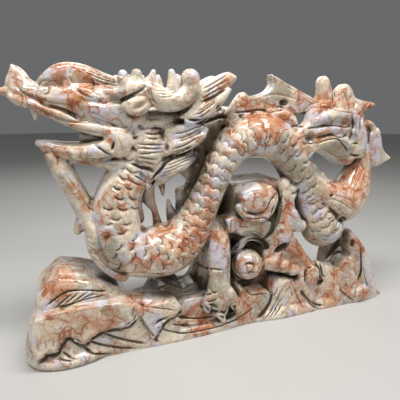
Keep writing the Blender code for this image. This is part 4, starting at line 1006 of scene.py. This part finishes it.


# Where the stone's colours gather, as (along, up, reach, strength) on the drawing's upright plane. The
# dark patches of back walls and hollows are partly the stone's own colour and partly painted shade.
# They run on through the stone, so the back has them too, more weakly.
stoneColours = {
    "rust": [
        (-150, 262, 6, .7), (-153, 254, 5, .9), (-148, 249, 7, .7), (-136, 257, 6, .7), (-131, 250, 6, .95),
        (-141, 238, 6, .9), (-134, 243, 5, .8), (-144, 233, 6, .7), (-156, 244, 4, .6), (-184, 248, 3, .8),
        (-194, 242, 3, .7), (-183, 239, 4, .6), (-175, 240, 3, .7), (-167, 236, 3, .6), (-159, 231, 3, .6),
        (-169, 229, 4, .7), (-164, 224, 5, .6), (-153, 226, 4, .6), (-143, 219, 5, .5), (-131, 222, 4, .4),
        (-117, 211, 3, .95), (-116, 203, 3, .95), (-115, 245, 3, .9), (-173, 232, 4, .5),
        (-182, 229, 3, .5), (-169, 197, 5, .5), (-156, 194, 6, .5), (-143, 197, 4, .4), (-162, 185, 4, .4),
        (-102, 167, 5, .7), (-92, 160, 6, .7), (-94, 222, 4, .5), (-41, 264, 5, .5), (-36, 256, 4, .6),
        (-79, 237, 3, .6), (-77, 244, 3, .6), (-150, 164, 4, .9), (-144, 154, 5, .95), (-140, 144, 4, .8),
        (-116, 151, 3, .9), (-104, 156, 4, .6), (-129, 146, 3, .6), (-4, 256, 5, .9), (-10, 250, 4, .6),
        (-27, 231, 5, .5), (-22, 238, 5, .4), (30, 219, 9, .85), (44, 212, 9, .95), (57, 217, 7, .8),
        (35, 206, 9, .6), (50, 203, 7, .7), (2, 207, 5, .7), (9, 193, 7, .6), (16, 215, 6, .6),
        (-4, 189, 5, .4), (10, 237, 5, .5), (16, 241, 4, .5), (21, 227, 9, .7), (43, 228, 8, .7),
        (77, 247, 5, .6), (80, 239, 5, .6), (101, 236, 6, .7), (91, 231, 6, .6), (60, 224, 7, .8),
        (77, 198, 8, .6), (90, 190, 6, .6), (71, 213, 6, .5), (105, 241, 8, .7), (112, 252, 6, .5),
        (117, 235, 5, .8), (109, 233, 6, .7), (127, 237, 7, .5), (143, 236, 7, .5), (132, 248, 7, .4),
        (168, 234, 9, .9), (177, 229, 7, .9), (161, 227, 6, .7), (119, 204, 8, .6), (104, 201, 7, .6),
        (139, 210, 8, .4), (169, 214, 7, .8), (186, 190, 6, .4), (160, 167, 10, .9), (171, 152, 12, .95),
        (167, 135, 11, .9), (153, 156, 10, .7), (174, 173, 7, .6), (142, 140, 9, .6), (126, 138, 7, .5),
        (130, 146, 7, .5), (49, 149, 9, .7), (39, 145, 6, .9), (-22, 152, 6, .6), (-19, 138, 7, .6),
        (-26, 164, 5, .3), (-107, 140, 4, .8), (-109, 118, 4, .8), (-101, 102, 4, .9), (-98, 88, 4, .9),
        (-122, 115, 4, .8), (-129, 130, 4, .6), (-125, 139, 4, .5), (-83, 125, 5, .7), (-73, 114, 7, .75),
        (-61, 116, 7, .8), (-48, 107, 7, .8), (-65, 99, 7, .75), (-51, 92, 7, .7), (-79, 87, 7, .7),
        (-91, 81, 6, .7), (-69, 79, 6, .6), (-36, 117, 8, .6), (-28, 102, 8, .6), (-37, 90, 7, .5),
        (-83, 107, 6, .55), (-55, 79, 6, .5), (-116, 72, 6, .6), (-42, 128, 5, .5), (-26, 126, 5, .5),
        (-75, 132, 5, .5), (-182, 47, 6, .5), (-172, 42, 6, .55), (-160, 38, 6, .55), (-151, 46, 6, .45),
        (-138, 38, 6, .6), (-186, 22, 6, .45), (-166, 22, 6, .4), (-146, 10, 5, .5), (-110, 8, 5, .4),
        (-166, 88, 8, .8), (-162, 78, 7, .8), (-173, 70, 8, .9), (-167, 62, 6, .8), (-179, 77, 6, .5),
        (-158, 67, 4, .4), (-162, 45, 7, .4), (-170, 33, 6, .6), (-143, 45, 5, .5), (-131, 32, 7, .8),
        (-138, 22, 6, .7), (-126, 23, 5, .7), (-155, 19, 5, .5), (-177, 21, 5, .6), (-171, 12, 4, .4),
        (-182, 30, 5, .4), (-150, 36, 5, .45), (-120, -1, 6, .45), (-133, -7, 5, .3), (-94, 35, 7, .7),
        (-84, 35, 6, .6), (-97, 47, 6, .6), (-107, 46, 6, .5), (-43, 20, 7, .7), (-32, 11, 7, .6),
        (-30, 1, 8, .8), (-47, 14, 6, .5), (-36, 27, 6, .5), (-25, 119, 7, .6), (-33, 109, 7, .6),
        (-34, 95, 7, .6), (-20, 124, 6, .5), (-13, 100, 7, .75), (-1, 93, 5, .6), (-3, 103, 5, .6),
        (10, 114, 7, .6), (19, 121, 6, .5), (35, 123, 7, .6), (46, 125, 6, .5), (22, 130, 5, .4),
        (69, 125, 8, .75), (67, 111, 8, .7), (76, 97, 8, .5), (61, 93, 6, .3), (49, 69, 9, .8),
        (65, 61, 9, .9), (82, 54, 8, .9), (92, 67, 10, .9), (101, 53, 9, .8), (78, 74, 8, .6),
        (116, 30, 9, .75), (109, 39, 7, .7), (17, 69, 6, .6), (32, 59, 6, .5), (43, 48, 8, .5),
        (54, 37, 8, .5), (20, 26, 9, .75), (26, 11, 9, .6), (38, 31, 8, .6), (20, -1, 8, .7),
        (-28, 7, 8, .8), (-27, -5, 7, .6), (-18, -2, 6, .4), (89, 29, 9, .6), (96, 10, 9, .6),
        (103, -3, 9, .6), (123, -3, 8, .4), (140, 9, 9, .9), (146, -3, 10, .9), (135, 3, 8, .6),
        (147, 33, 9, .7), (155, 43, 8, .6), (162, 23, 8, .5), (171, 35, 8, .5), (180, 15, 8, .5),
        (172, 4, 8, .5), (195, -1, 8, .9), (174, 74, 10, .9), (182, 60, 6, .7), (174, 51, 8, .6),
        (163, 121, 9, .6), (151, 127, 7, .5), (128, 119, 7, .45), (141, 111, 7, .4), (115, 54, 6, .4),
    ],
    "lilac": [
        (-145, 259, 4, .6), (-156, 240, 5, .8), (-118, 244, 4, .5), (-116, 240, 3, .4), (-129, 227, 7, .7),
        (-119, 227, 7, .6), (-108, 222, 5, .5), (-126, 235, 5, .4), (-90, 173, 6, .6), (-96, 179, 5, .5),
        (-105, 229, 4, .4), (65, 216, 7, .9), (91, 226, 8, .9), (102, 223, 6, .7), (126, 208, 10, .9),
        (140, 206, 8, .7), (148, 219, 8, .6), (153, 202, 9, .7), (24, 145, 8, .95), (18, 138, 6, .7),
        (1, 123, 5, .5), (73, 127, 6, .8), (80, 110, 7, .7), (70, 91, 7, .9), (87, 123, 8, .7),
        (101, 121, 10, .8), (115, 113, 8, .8), (130, 80, 9, .5), (109, 101, 8, .3), (-11, 83, 9, .95),
        (-6, 72, 8, .9), (-17, 93, 7, .7), (-133, 134, 5, .7), (-136, 121, 4, .5), (-128, 73, 6, .8),
        (-132, 78, 5, .5), (-187, 67, 5, .5), (-188, 77, 4, .4), (-134, 47, 6, .5), (198, 28, 12, .9),
        (204, 10, 10, .8), (188, 39, 8, .7), (109, 30, 7, .5), (56, 41, 8, .6), (65, 29, 7, .5),
        (-114, 26, 6, .3), (-76, 20, 5, .4), (-87, 8, 6, .4), (0, 186, 7, .6), (-8, 178, 8, .6),
        (33, 200, 7, .4), (-16, 169, 6, .4), (117, 21, 6, .6), (137, -35, 6, .3), (-95, 113, 5, .4),
        (-58, 103, 5, .4), (-73, 124, 4, .4), (166, 75, 6, .4), (14, 103, 7, .3),
    ],
    "grey": [
        (70, 188, 11, .9), (83, 177, 13, .95), (94, 163, 12, .95), (82, 155, 12, .9), (101, 148, 11, .9),
        (63, 199, 9, .6), (58, 178, 9, .7), (110, 142, 11, .6), (93, 137, 11, .7), (128, 189, 17, .9),
        (111, 187, 12, .9), (149, 182, 11, .8), (116, 213, 11, .5), (157, 210, 9, .5), (-26, 43, 12, .95),
        (-11, 48, 11, .95), (-6, 32, 11, .95), (-20, 28, 11, .95), (1, 20, 10, .8), (-27, 57, 8, .8),
        (1, 56, 7, .6), (-123, 109, 8, .8), (-120, 94, 8, .85), (-127, 97, 7, .8), (-113, 82, 8, .7),
        (-113, 125, 6, .6), (-133, 111, 5, .6), (-106, 127, 5, .5), (26, 234, 11, .6), (42, 246, 10, .8),
        (60, 244, 12, .85), (78, 234, 10, .6), (49, 234, 9, .6), (92, 242, 6, .5), (30, 134, 10, .7),
        (39, 120, 10, .5), (25, 107, 11, .7), (40, 100, 10, .7), (55, 118, 8, .7), (32, 86, 10, .6),
        (51, 81, 9, .6), (116, 100, 13, .8), (106, 93, 13, .8), (131, 95, 12, .7), (125, 80, 13, .75),
        (142, 101, 9, .5), (88, 111, 8, .5), (26, 75, 10, .7), (23, 61, 7, .5), (42, 65, 8, .4),
        (31, 45, 10, .6), (54, 22, 11, .6), (44, 11, 12, .6), (29, 21, 8, .4), (68, 16, 11, .5),
        (-142, 69, 7, .7), (-148, 75, 7, .6), (-153, 94, 8, .6), (-146, 90, 7, .6), (-170, 49, 7, .4),
        (-178, 40, 7, .4), (-157, 51, 5, .35), (-147, 28, 5, .35), (148, 49, 11, .6), (134, 67, 10, .6),
        (165, -6, 10, .6), (177, -15, 10, .5), (200, -12, 10, .4), (181, 184, 9, .6), (189, 172, 8, .6),
        (182, 161, 8, .5), (-92, 123, 6, .5), (-69, 89, 6, .4), (-112, 138, 5, .4), (-32, 152, 7, .5),
        (-27, 142, 6, .5), (-19, 162, 6, .5), (188, 114, 10, .4), (111, 5, 7, .3),
    ],
    # These patches are partly the stone's dark colour and partly painted shade on back walls and in
    # hollows.
    "brownStoneAndShade": [
        (-37, 182, 9, .8), (-26, 192, 9, .8), (-32, 170, 8, .7), (-19, 206, 8, .7), (-9, 220, 7, .6),
        (-40, 163, 7, .6), (-47, 152, 7, .5), (-57, 139, 6, .5), (-13, 234, 6, .5), (-25, 220, 6, .6),
        (23, 157, 11, .5), (37, 162, 10, .4), (10, 139, 9, .7), (-1, 134, 9, .7), (-7, 113, 8, .7),
        (4, 96, 7, .6), (-8, 124, 7, .6), (-75, 57, 12, .9), (-59, 55, 13, .95), (-46, 47, 12, .9),
        (-87, 58, 10, .9), (-36, 51, 10, .9), (-68, 49, 10, .8), (36, 94, 10, .5), (41, 77, 10, .4),
        (5, 73, 7, .6), (155, 77, 14, .7), (142, 63, 12, .6), (117, 63, 9, .4), (56, 168, 7, .5),
        (169, 216, 6, .5), (-88, 119, 4, .3), (-63, 130, 4, .4), (94, 198, 5, .5), (140, 163, 6, .4),
    ],
}


def gathered(flat, patches):
    # Soft patches added up to at most one.
    total = np.zeros(len(flat))
    for x, z, reach, strength in patches:
        gap = ((flat[:, 0] - x) ** 2 + (flat[:, 1] - z) ** 2) / (reach * 1.15) ** 2
        near = gap < 4
        total[near] = total[near] + strength * np.exp(-gap[near] * 1.2) * (1 - total[near])
    return total


# On the hidden sides the patches keep the share hiddenShare. A trace of rust runs through all the stone.
# A point's recess is found by short looks outward, each as long as reach, in metres; it darkens the hollows
# with painted shade and makes them duller.
painting = {"hiddenShare": 0.45, "rustEverywhere": 0.03, "looks": 11, "reach": 0.022}


def paintPoints():
    places, outward = drawnPlaces()
    flat = onDrawing(places)
    strength = painting["hiddenShare"] + (1 - painting["hiddenShare"]) * readAttribute("seen")
    for name, patches in stoneColours.items():
        trace = painting["rustEverywhere"] if name == "rust" else 0
        addAttribute(name, np.minimum(gathered(flat, patches) * strength + trace, 1))
    # How deep in a hollow each point lies: the share of short looks outward that meet the stone again. It
    # is used as painted shade, the darkness that light would leave there, with some dirt.
    tree = BVHTree.FromObject(stone, bpy.context.evaluated_depsgraph_get())
    looks, reach = painting["looks"], painting["reach"]
    golden = math.pi * (3 - math.sqrt(5))
    fan = []
    for k in range(looks):
        up = 1 - 0.75 * (k + 0.5) / looks
        side = math.sqrt(1 - up * up)
        fan.append((side * math.cos(golden * k), side * math.sin(golden * k), up))
    helper = np.where(np.abs(outward[:, 2:3]) > 0.9, np.array([[1.0, 0, 0]]), np.array([[0, 0, 1.0]]))
    right = np.cross(outward, helper)
    right /= np.linalg.norm(right, axis=1)[:, None]
    other = np.cross(outward, right)
    hidden = np.zeros(len(places))
    for a, b, c in fan:
        direction = right * a + other * b + outward * c
        start = (places + outward * 0.4) * mm
        for i in range(len(places)):
            hit = tree.ray_cast(Vector(start[i]), Vector(direction[i]), reach)[3]
            if hit is not None:
                hidden[i] += 1 - hit / reach
    addAttribute("recess", np.clip(hidden / looks * 1.7, 0, 1))


def slideOverOrigin():
    # The underside is pressed exactly flat on the way.
    places = np.empty(len(stone.data.vertices) * 3, np.float32)
    stone.data.vertices.foreach_get("co", places)
    places = places.reshape(-1, 3) - np.array([slideToOrigin[0], slideToOrigin[1], 0], np.float32) * mm
    places[:, 2] = np.maximum(places[:, 2], 0)
    stone.data.vertices.foreach_set("co", places.ravel())
    stone.data.update()


paintPoints()
slideOverOrigin()
print("painted the stone's colours")


def hexColour(code):
    # sRGB hex to the linear colour a shader takes
    parts = [int(code[i:i + 2], 16) / 255 for i in (1, 3, 5)]
    return tuple(p / 12.92 if p <= 0.04045 else ((p + 0.055) / 1.055) ** 2.4 for p in parts) + (1,)


def addNode(tree, kind, inputs=(), **settings):
    # A node with its settings, and its inputs by name or number: each a value, the socket that feeds it, or
    # the node whose first output does.
    node = tree.nodes.new("ShaderNode" + kind)
    for name, value in settings.items():
        setattr(node, name, value)
    for socket, value in inputs:
        if isinstance(value, bpy.types.Node):
            value = value.outputs[0]
        if isinstance(value, bpy.types.NodeSocket):
            tree.links.new(value, node.inputs[socket])
        else:
            node.inputs[socket].default_value = value
    return node


# Colours, the sizes of the stone's figure in mm, and the polish.
quartz = {
    "cream": "#e4d8c3", "grey": "#9c9883", "lilac": "#cbcad6", "pale": "#ece6dc", "tan": "#cfae88",
    # Of the next colours the darkest three, for hollows and cuts, are painted shade with some dirt.
    "salmon": "#c18b69", "rust": "#9c5836", "orange": "#b47448", "brownStoneAndShade": "#493a26", "oliveShadeAndDirt": "#5f5a40",
    "cutShadeAndDirt": "#4a3828",
    "cloud": 26, "patch": 17, "mottle": 8, "grain": 2.0, "band": 46, "breaks": 13, "wave": 5,
    "coarseNet": 13, "fineNet": 6, "swirl": 30, "fineSwirl": 7,
    "roughness": 0.13, "dullerInHollows": 0.3, "ior": 1.54, "waviness": 0.35, "waveHeight": 0.0008,
}


def polishedQuartz():
    # Banded quartz, ground by hand and polished: cream, grey-green and lilac clouds with a broken net of
    # salmon and rust-red veins that runs through it. The polish gives small bright highlights, and the
    # hollows and the bottoms of the cuts are darkened with painted shade, with some dirt, and are duller.
    material = bpy.data.materials.new("polishedQuartz")
    material.use_nodes = True
    tree = material.node_tree
    shader = tree.nodes["Principled BSDF"]
    where = addNode(tree, "TexCoord").outputs["Object"]
    painted = {name: addNode(tree, "Attribute", attribute_name=name).outputs["Fac"]
               for name in ("rust", "lilac", "grey", "brownStoneAndShade", "recess", "carvedLineShadeAndDirt")}

    # The places are pushed about by two swirls first, so that nothing runs straight.
    bent = where
    for size, push in ((quartz["swirl"], 0.022), (quartz["fineSwirl"], 0.005)):
        swirl = addNode(tree, "TexNoise", [("Vector", where), ("Scale", 1000 / size), ("Detail", 2)])
        bent = addNode(tree, "VectorMath", [(0, swirl.outputs["Color"]), (1, (push,) * 3), (2, bent)],
                       operation="MULTIPLY_ADD")
    tone = {}
    for name, detail, rough in (("cloud", 4, 0.6), ("patch", 4, 0.6), ("mottle", 5, 0.65),
                                ("grain", 3, 0.6), ("band", 3, 0.5), ("breaks", 2, 0.5), ("wave", 2, 0.5)):
        tone[name] = addNode(tree, "TexNoise", [
            ("Vector", where if name in ("grain", "wave") else bent), ("Scale", 1000 / quartz[name]),
            ("Detail", detail), ("Roughness", rough)]).outputs["Fac"]

    # Broken lines: cell walls of two sizes, as wide as the rust and the breaks allow. The wider net has a
    # soft halo.
    net = {}
    for name, base, more in (("coarseNet", 0.03, 0.06), ("fineNet", 0.025, 0.07)):
        walls = addNode(tree, "TexVoronoi", [("Vector", bent), ("Scale", 1000 / quartz[name])],
                        feature="DISTANCE_TO_EDGE").outputs["Distance"]
        wide = addNode(tree, "Math", [(0, painted["rust"]), (1, more), (2, base)], operation="MULTIPLY_ADD")
        gate = addNode(tree, "MapRange", [("Value", tone["breaks"]), ("From Min", 0.42), ("From Max", 0.62),
                                          ("To Min", 0.02), ("To Max", 1.5)])
        wide = addNode(tree, "Math", [(0, wide), (1, gate)], operation="MULTIPLY")
        share = addNode(tree, "Math", [(0, walls), (1, wide)], operation="DIVIDE")
        net[name] = addNode(tree, "MapRange", [("Value", share), ("From Min", 1.0), ("From Max", 0.3)])
        if name == "coarseNet":
            halo = addNode(tree, "MapRange", [("Value", walls), ("From Min", 0.24), ("From Max", 0.0)])
    # One long vein runs where the bands pass through their middle.
    away = addNode(tree, "Math", [(0, tone["band"]), (1, 0.5)], operation="SUBTRACT")
    away = addNode(tree, "Math", [(0, away)], operation="ABSOLUTE")
    longVein = addNode(tree, "MapRange", [("Value", away), ("From Min", 0.014), ("From Max", 0.002)])

    # Each layer of colour: what it follows, the painting that adds to that and by how much, the range it
    # comes in over, its strength there, a second share it is held back by, and its colour.
    full = 1.0
    vivid = addNode(tree, "Math", [(0, painted["rust"]), (1, 0.6), (2, tone["cloud"])],
                    operation="MULTIPLY_ADD")
    layers = (
        (tone["cloud"], painted["grey"], 0.18, 0.46, 0.62, 0.85, full, "grey"),
        (tone["cloud"], painted["rust"], -0.10, 0.46, 0.36, 0.45, full, "tan"),
        (tone["patch"], painted["lilac"], 0.22, 0.50, 0.62, 0.85, full, "lilac"),
        (tone["mottle"], painted["lilac"], 0.05, 0.52, 0.68, 0.60, full, "pale"),
        (halo, painted["rust"], 0.55, 0.20, 1.20, 0.62, vivid, "salmon"),
        (tone["mottle"], painted["rust"], 0.30, 0.56, 0.80, 0.80, full, "salmon"),
        (net["fineNet"], painted["rust"], 0.50, 0.55, 1.15, 0.80, vivid, "orange"),
        (tone["patch"], painted["rust"], 0.34, 0.68, 0.92, 0.70, full, "orange"),
        (net["coarseNet"], painted["rust"], 0.20, 0.20, 0.90, 0.85, vivid, "rust"),
        (longVein, painted["rust"], 0.10, 0.20, 0.90, 0.70, tone["breaks"], "rust"),
        (tone["mottle"], painted["rust"], 0.24, 0.74, 0.86, 0.66, full, "rust"),
        # Painted shade: the hollows and the bottoms of the cuts are darkened as light would leave them,
        # with some dirt.
        (painted["recess"], painted["brownStoneAndShade"], 0.95, 0.28, 0.90, 0.86, full, "brownStoneAndShade"),
        (painted["recess"], tone["cloud"], 0.60, 0.75, 1.25, 0.70, full, "oliveShadeAndDirt"),
        (painted["carvedLineShadeAndDirt"], painted["recess"], 0.30, 0.10, 1.20, 0.52, full, "cutShadeAndDirt"),
    )
    colour = hexColour(quartz["cream"])
    for follows, paint, weight, low, high, strength, held, over in layers:
        share = addNode(tree, "Math", [(0, paint), (1, weight), (2, follows)], operation="MULTIPLY_ADD")
        share = addNode(tree, "MapRange", [("Value", share), ("From Min", low), ("From Max", high),
                                           ("To Max", strength)], interpolation_type="SMOOTHSTEP")
        if held is not full:
            gate = addNode(tree, "MapRange", [("Value", held), ("From Min", 0.42), ("From Max", 0.66)])
            share = addNode(tree, "Math", [(0, share), (1, gate)], operation="MULTIPLY")
        colour = addNode(tree, "Mix", [(0, share), (6, colour), (7, hexColour(quartz[over]))],
                         data_type="RGBA").outputs[2]
    speckle = addNode(tree, "MapRange", [("Value", tone["grain"]), ("From Min", 0.3), ("From Max", 0.6),
                                         ("To Min", 0.74), ("To Max", 1.0)])
    colour = addNode(tree, "Mix", [(0, 1.0), (6, colour), (7, speckle)], data_type="RGBA",
                     blend_type="MULTIPLY").outputs[2]
    tree.links.new(colour, shader.inputs["Base Color"])

    duller = addNode(tree, "Math", [(0, painted["recess"]), (1, quartz["dullerInHollows"]),
                                    (2, quartz["roughness"])], operation="MULTIPLY_ADD")
    tree.links.new(duller.outputs[0], shader.inputs["Roughness"])
    shader.inputs["IOR"].default_value = quartz["ior"]
    # Hand polishing leaves the surface slightly wavy.
    bump = addNode(tree, "Bump", [("Height", tone["wave"]), ("Strength", quartz["waviness"]),
                                  ("Distance", quartz["waveHeight"])])
    tree.links.new(bump.outputs["Normal"], shader.inputs["Normal"])
    return material


board = {"radius": 4.0, "dark": "#bab8b4", "light": "#c2c0bc", "roughness": 0.7}


def studioFloor():
    # Pale painted board: matt, a little off white.
    material = bpy.data.materials.new("paintedBoard")
    material.use_nodes = True
    tree = material.node_tree
    shader = tree.nodes["Principled BSDF"]
    where = addNode(tree, "TexCoord").outputs["Object"]
    tone = addNode(tree, "TexNoise", [("Vector", where), ("Scale", 3.0), ("Detail", 2.0)]).outputs["Fac"]
    blend = addNode(tree, "Mix", [("Factor", tone), (6, hexColour(board["dark"])),
                                  (7, hexColour(board["light"]))], data_type="RGBA")
    tree.links.new(blend.outputs[2], shader.inputs["Base Color"])
    shader.inputs["Roughness"].default_value = board["roughness"]
    deselectAll()
    bpy.ops.mesh.primitive_circle_add(vertices=64, radius=board["radius"], fill_type="NGON",
                                      location=(0, 0, 0))
    floor = bpy.context.object
    floor.name = "floor"
    floor.data.materials.append(material)


# Soft lamps, each turned to the middle of the stone, and the faint light of the room.
lights = {
    "above": {"size": (0.8, 0.14), "place": (-0.05, -0.20, 0.85), "power": 7.8},
    "left": {"size": (0.6, 0.6), "place": (-0.95, -0.75, 0.75), "power": 3.0},
    "strip": {"size": (0.8, 0.03), "place": (0.0, -0.60, 0.75), "power": 1.6},
    "right": {"size": (0.5, 0.5), "place": (0.9, -0.5, 0.5), "power": 1.2},
    "behind": {"size": (0.9, 0.4), "place": (0.1, 0.9, 0.8), "power": 2.5},
}
middleOfStone = (0, 0, 0.12)
room = {"colour": "#c9cbcd", "strength": 0.24}


def lightStudio():
    for name, light in lights.items():
        bpy.ops.object.light_add(type="AREA", location=light["place"])
        lamp = bpy.context.object
        lamp.name = name
        lamp.data.shape = "RECTANGLE"
        lamp.data.size, lamp.data.size_y = light["size"]
        lamp.data.energy = light["power"]
        aim = Vector(middleOfStone) - Vector(light["place"])
        lamp.rotation_euler = aim.to_track_quat("-Z", "Y").to_euler()
    world = bpy.data.worlds.new("studio")
    bpy.context.scene.world = world
    world.use_nodes = True
    background = world.node_tree.nodes["Background"]
    background.inputs["Color"].default_value = hexColour(room["colour"])
    background.inputs["Strength"].default_value = room["strength"]
    bpy.context.scene.view_settings.view_transform = "Standard"


def placeCamera():
    bpy.ops.object.camera_add(
        location=((eye["x"] - slideToOrigin[0]) * mm, (eye["y"] - slideToOrigin[1]) * mm, eye["z"] * mm),
        rotation=(math.radians(90 - eye["down"]), 0, math.radians(-eye["towardsTail"])))
    camera = bpy.context.object
    camera.data.sensor_width = 36
    camera.data.lens = eye["lens"]
    bpy.context.scene.camera = camera


stone.data.materials.clear()
stone.data.materials.append(polishedQuartz())
studioFloor()
lightStudio()
placeCamera()
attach(stone, "root")
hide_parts("dragon_carving")
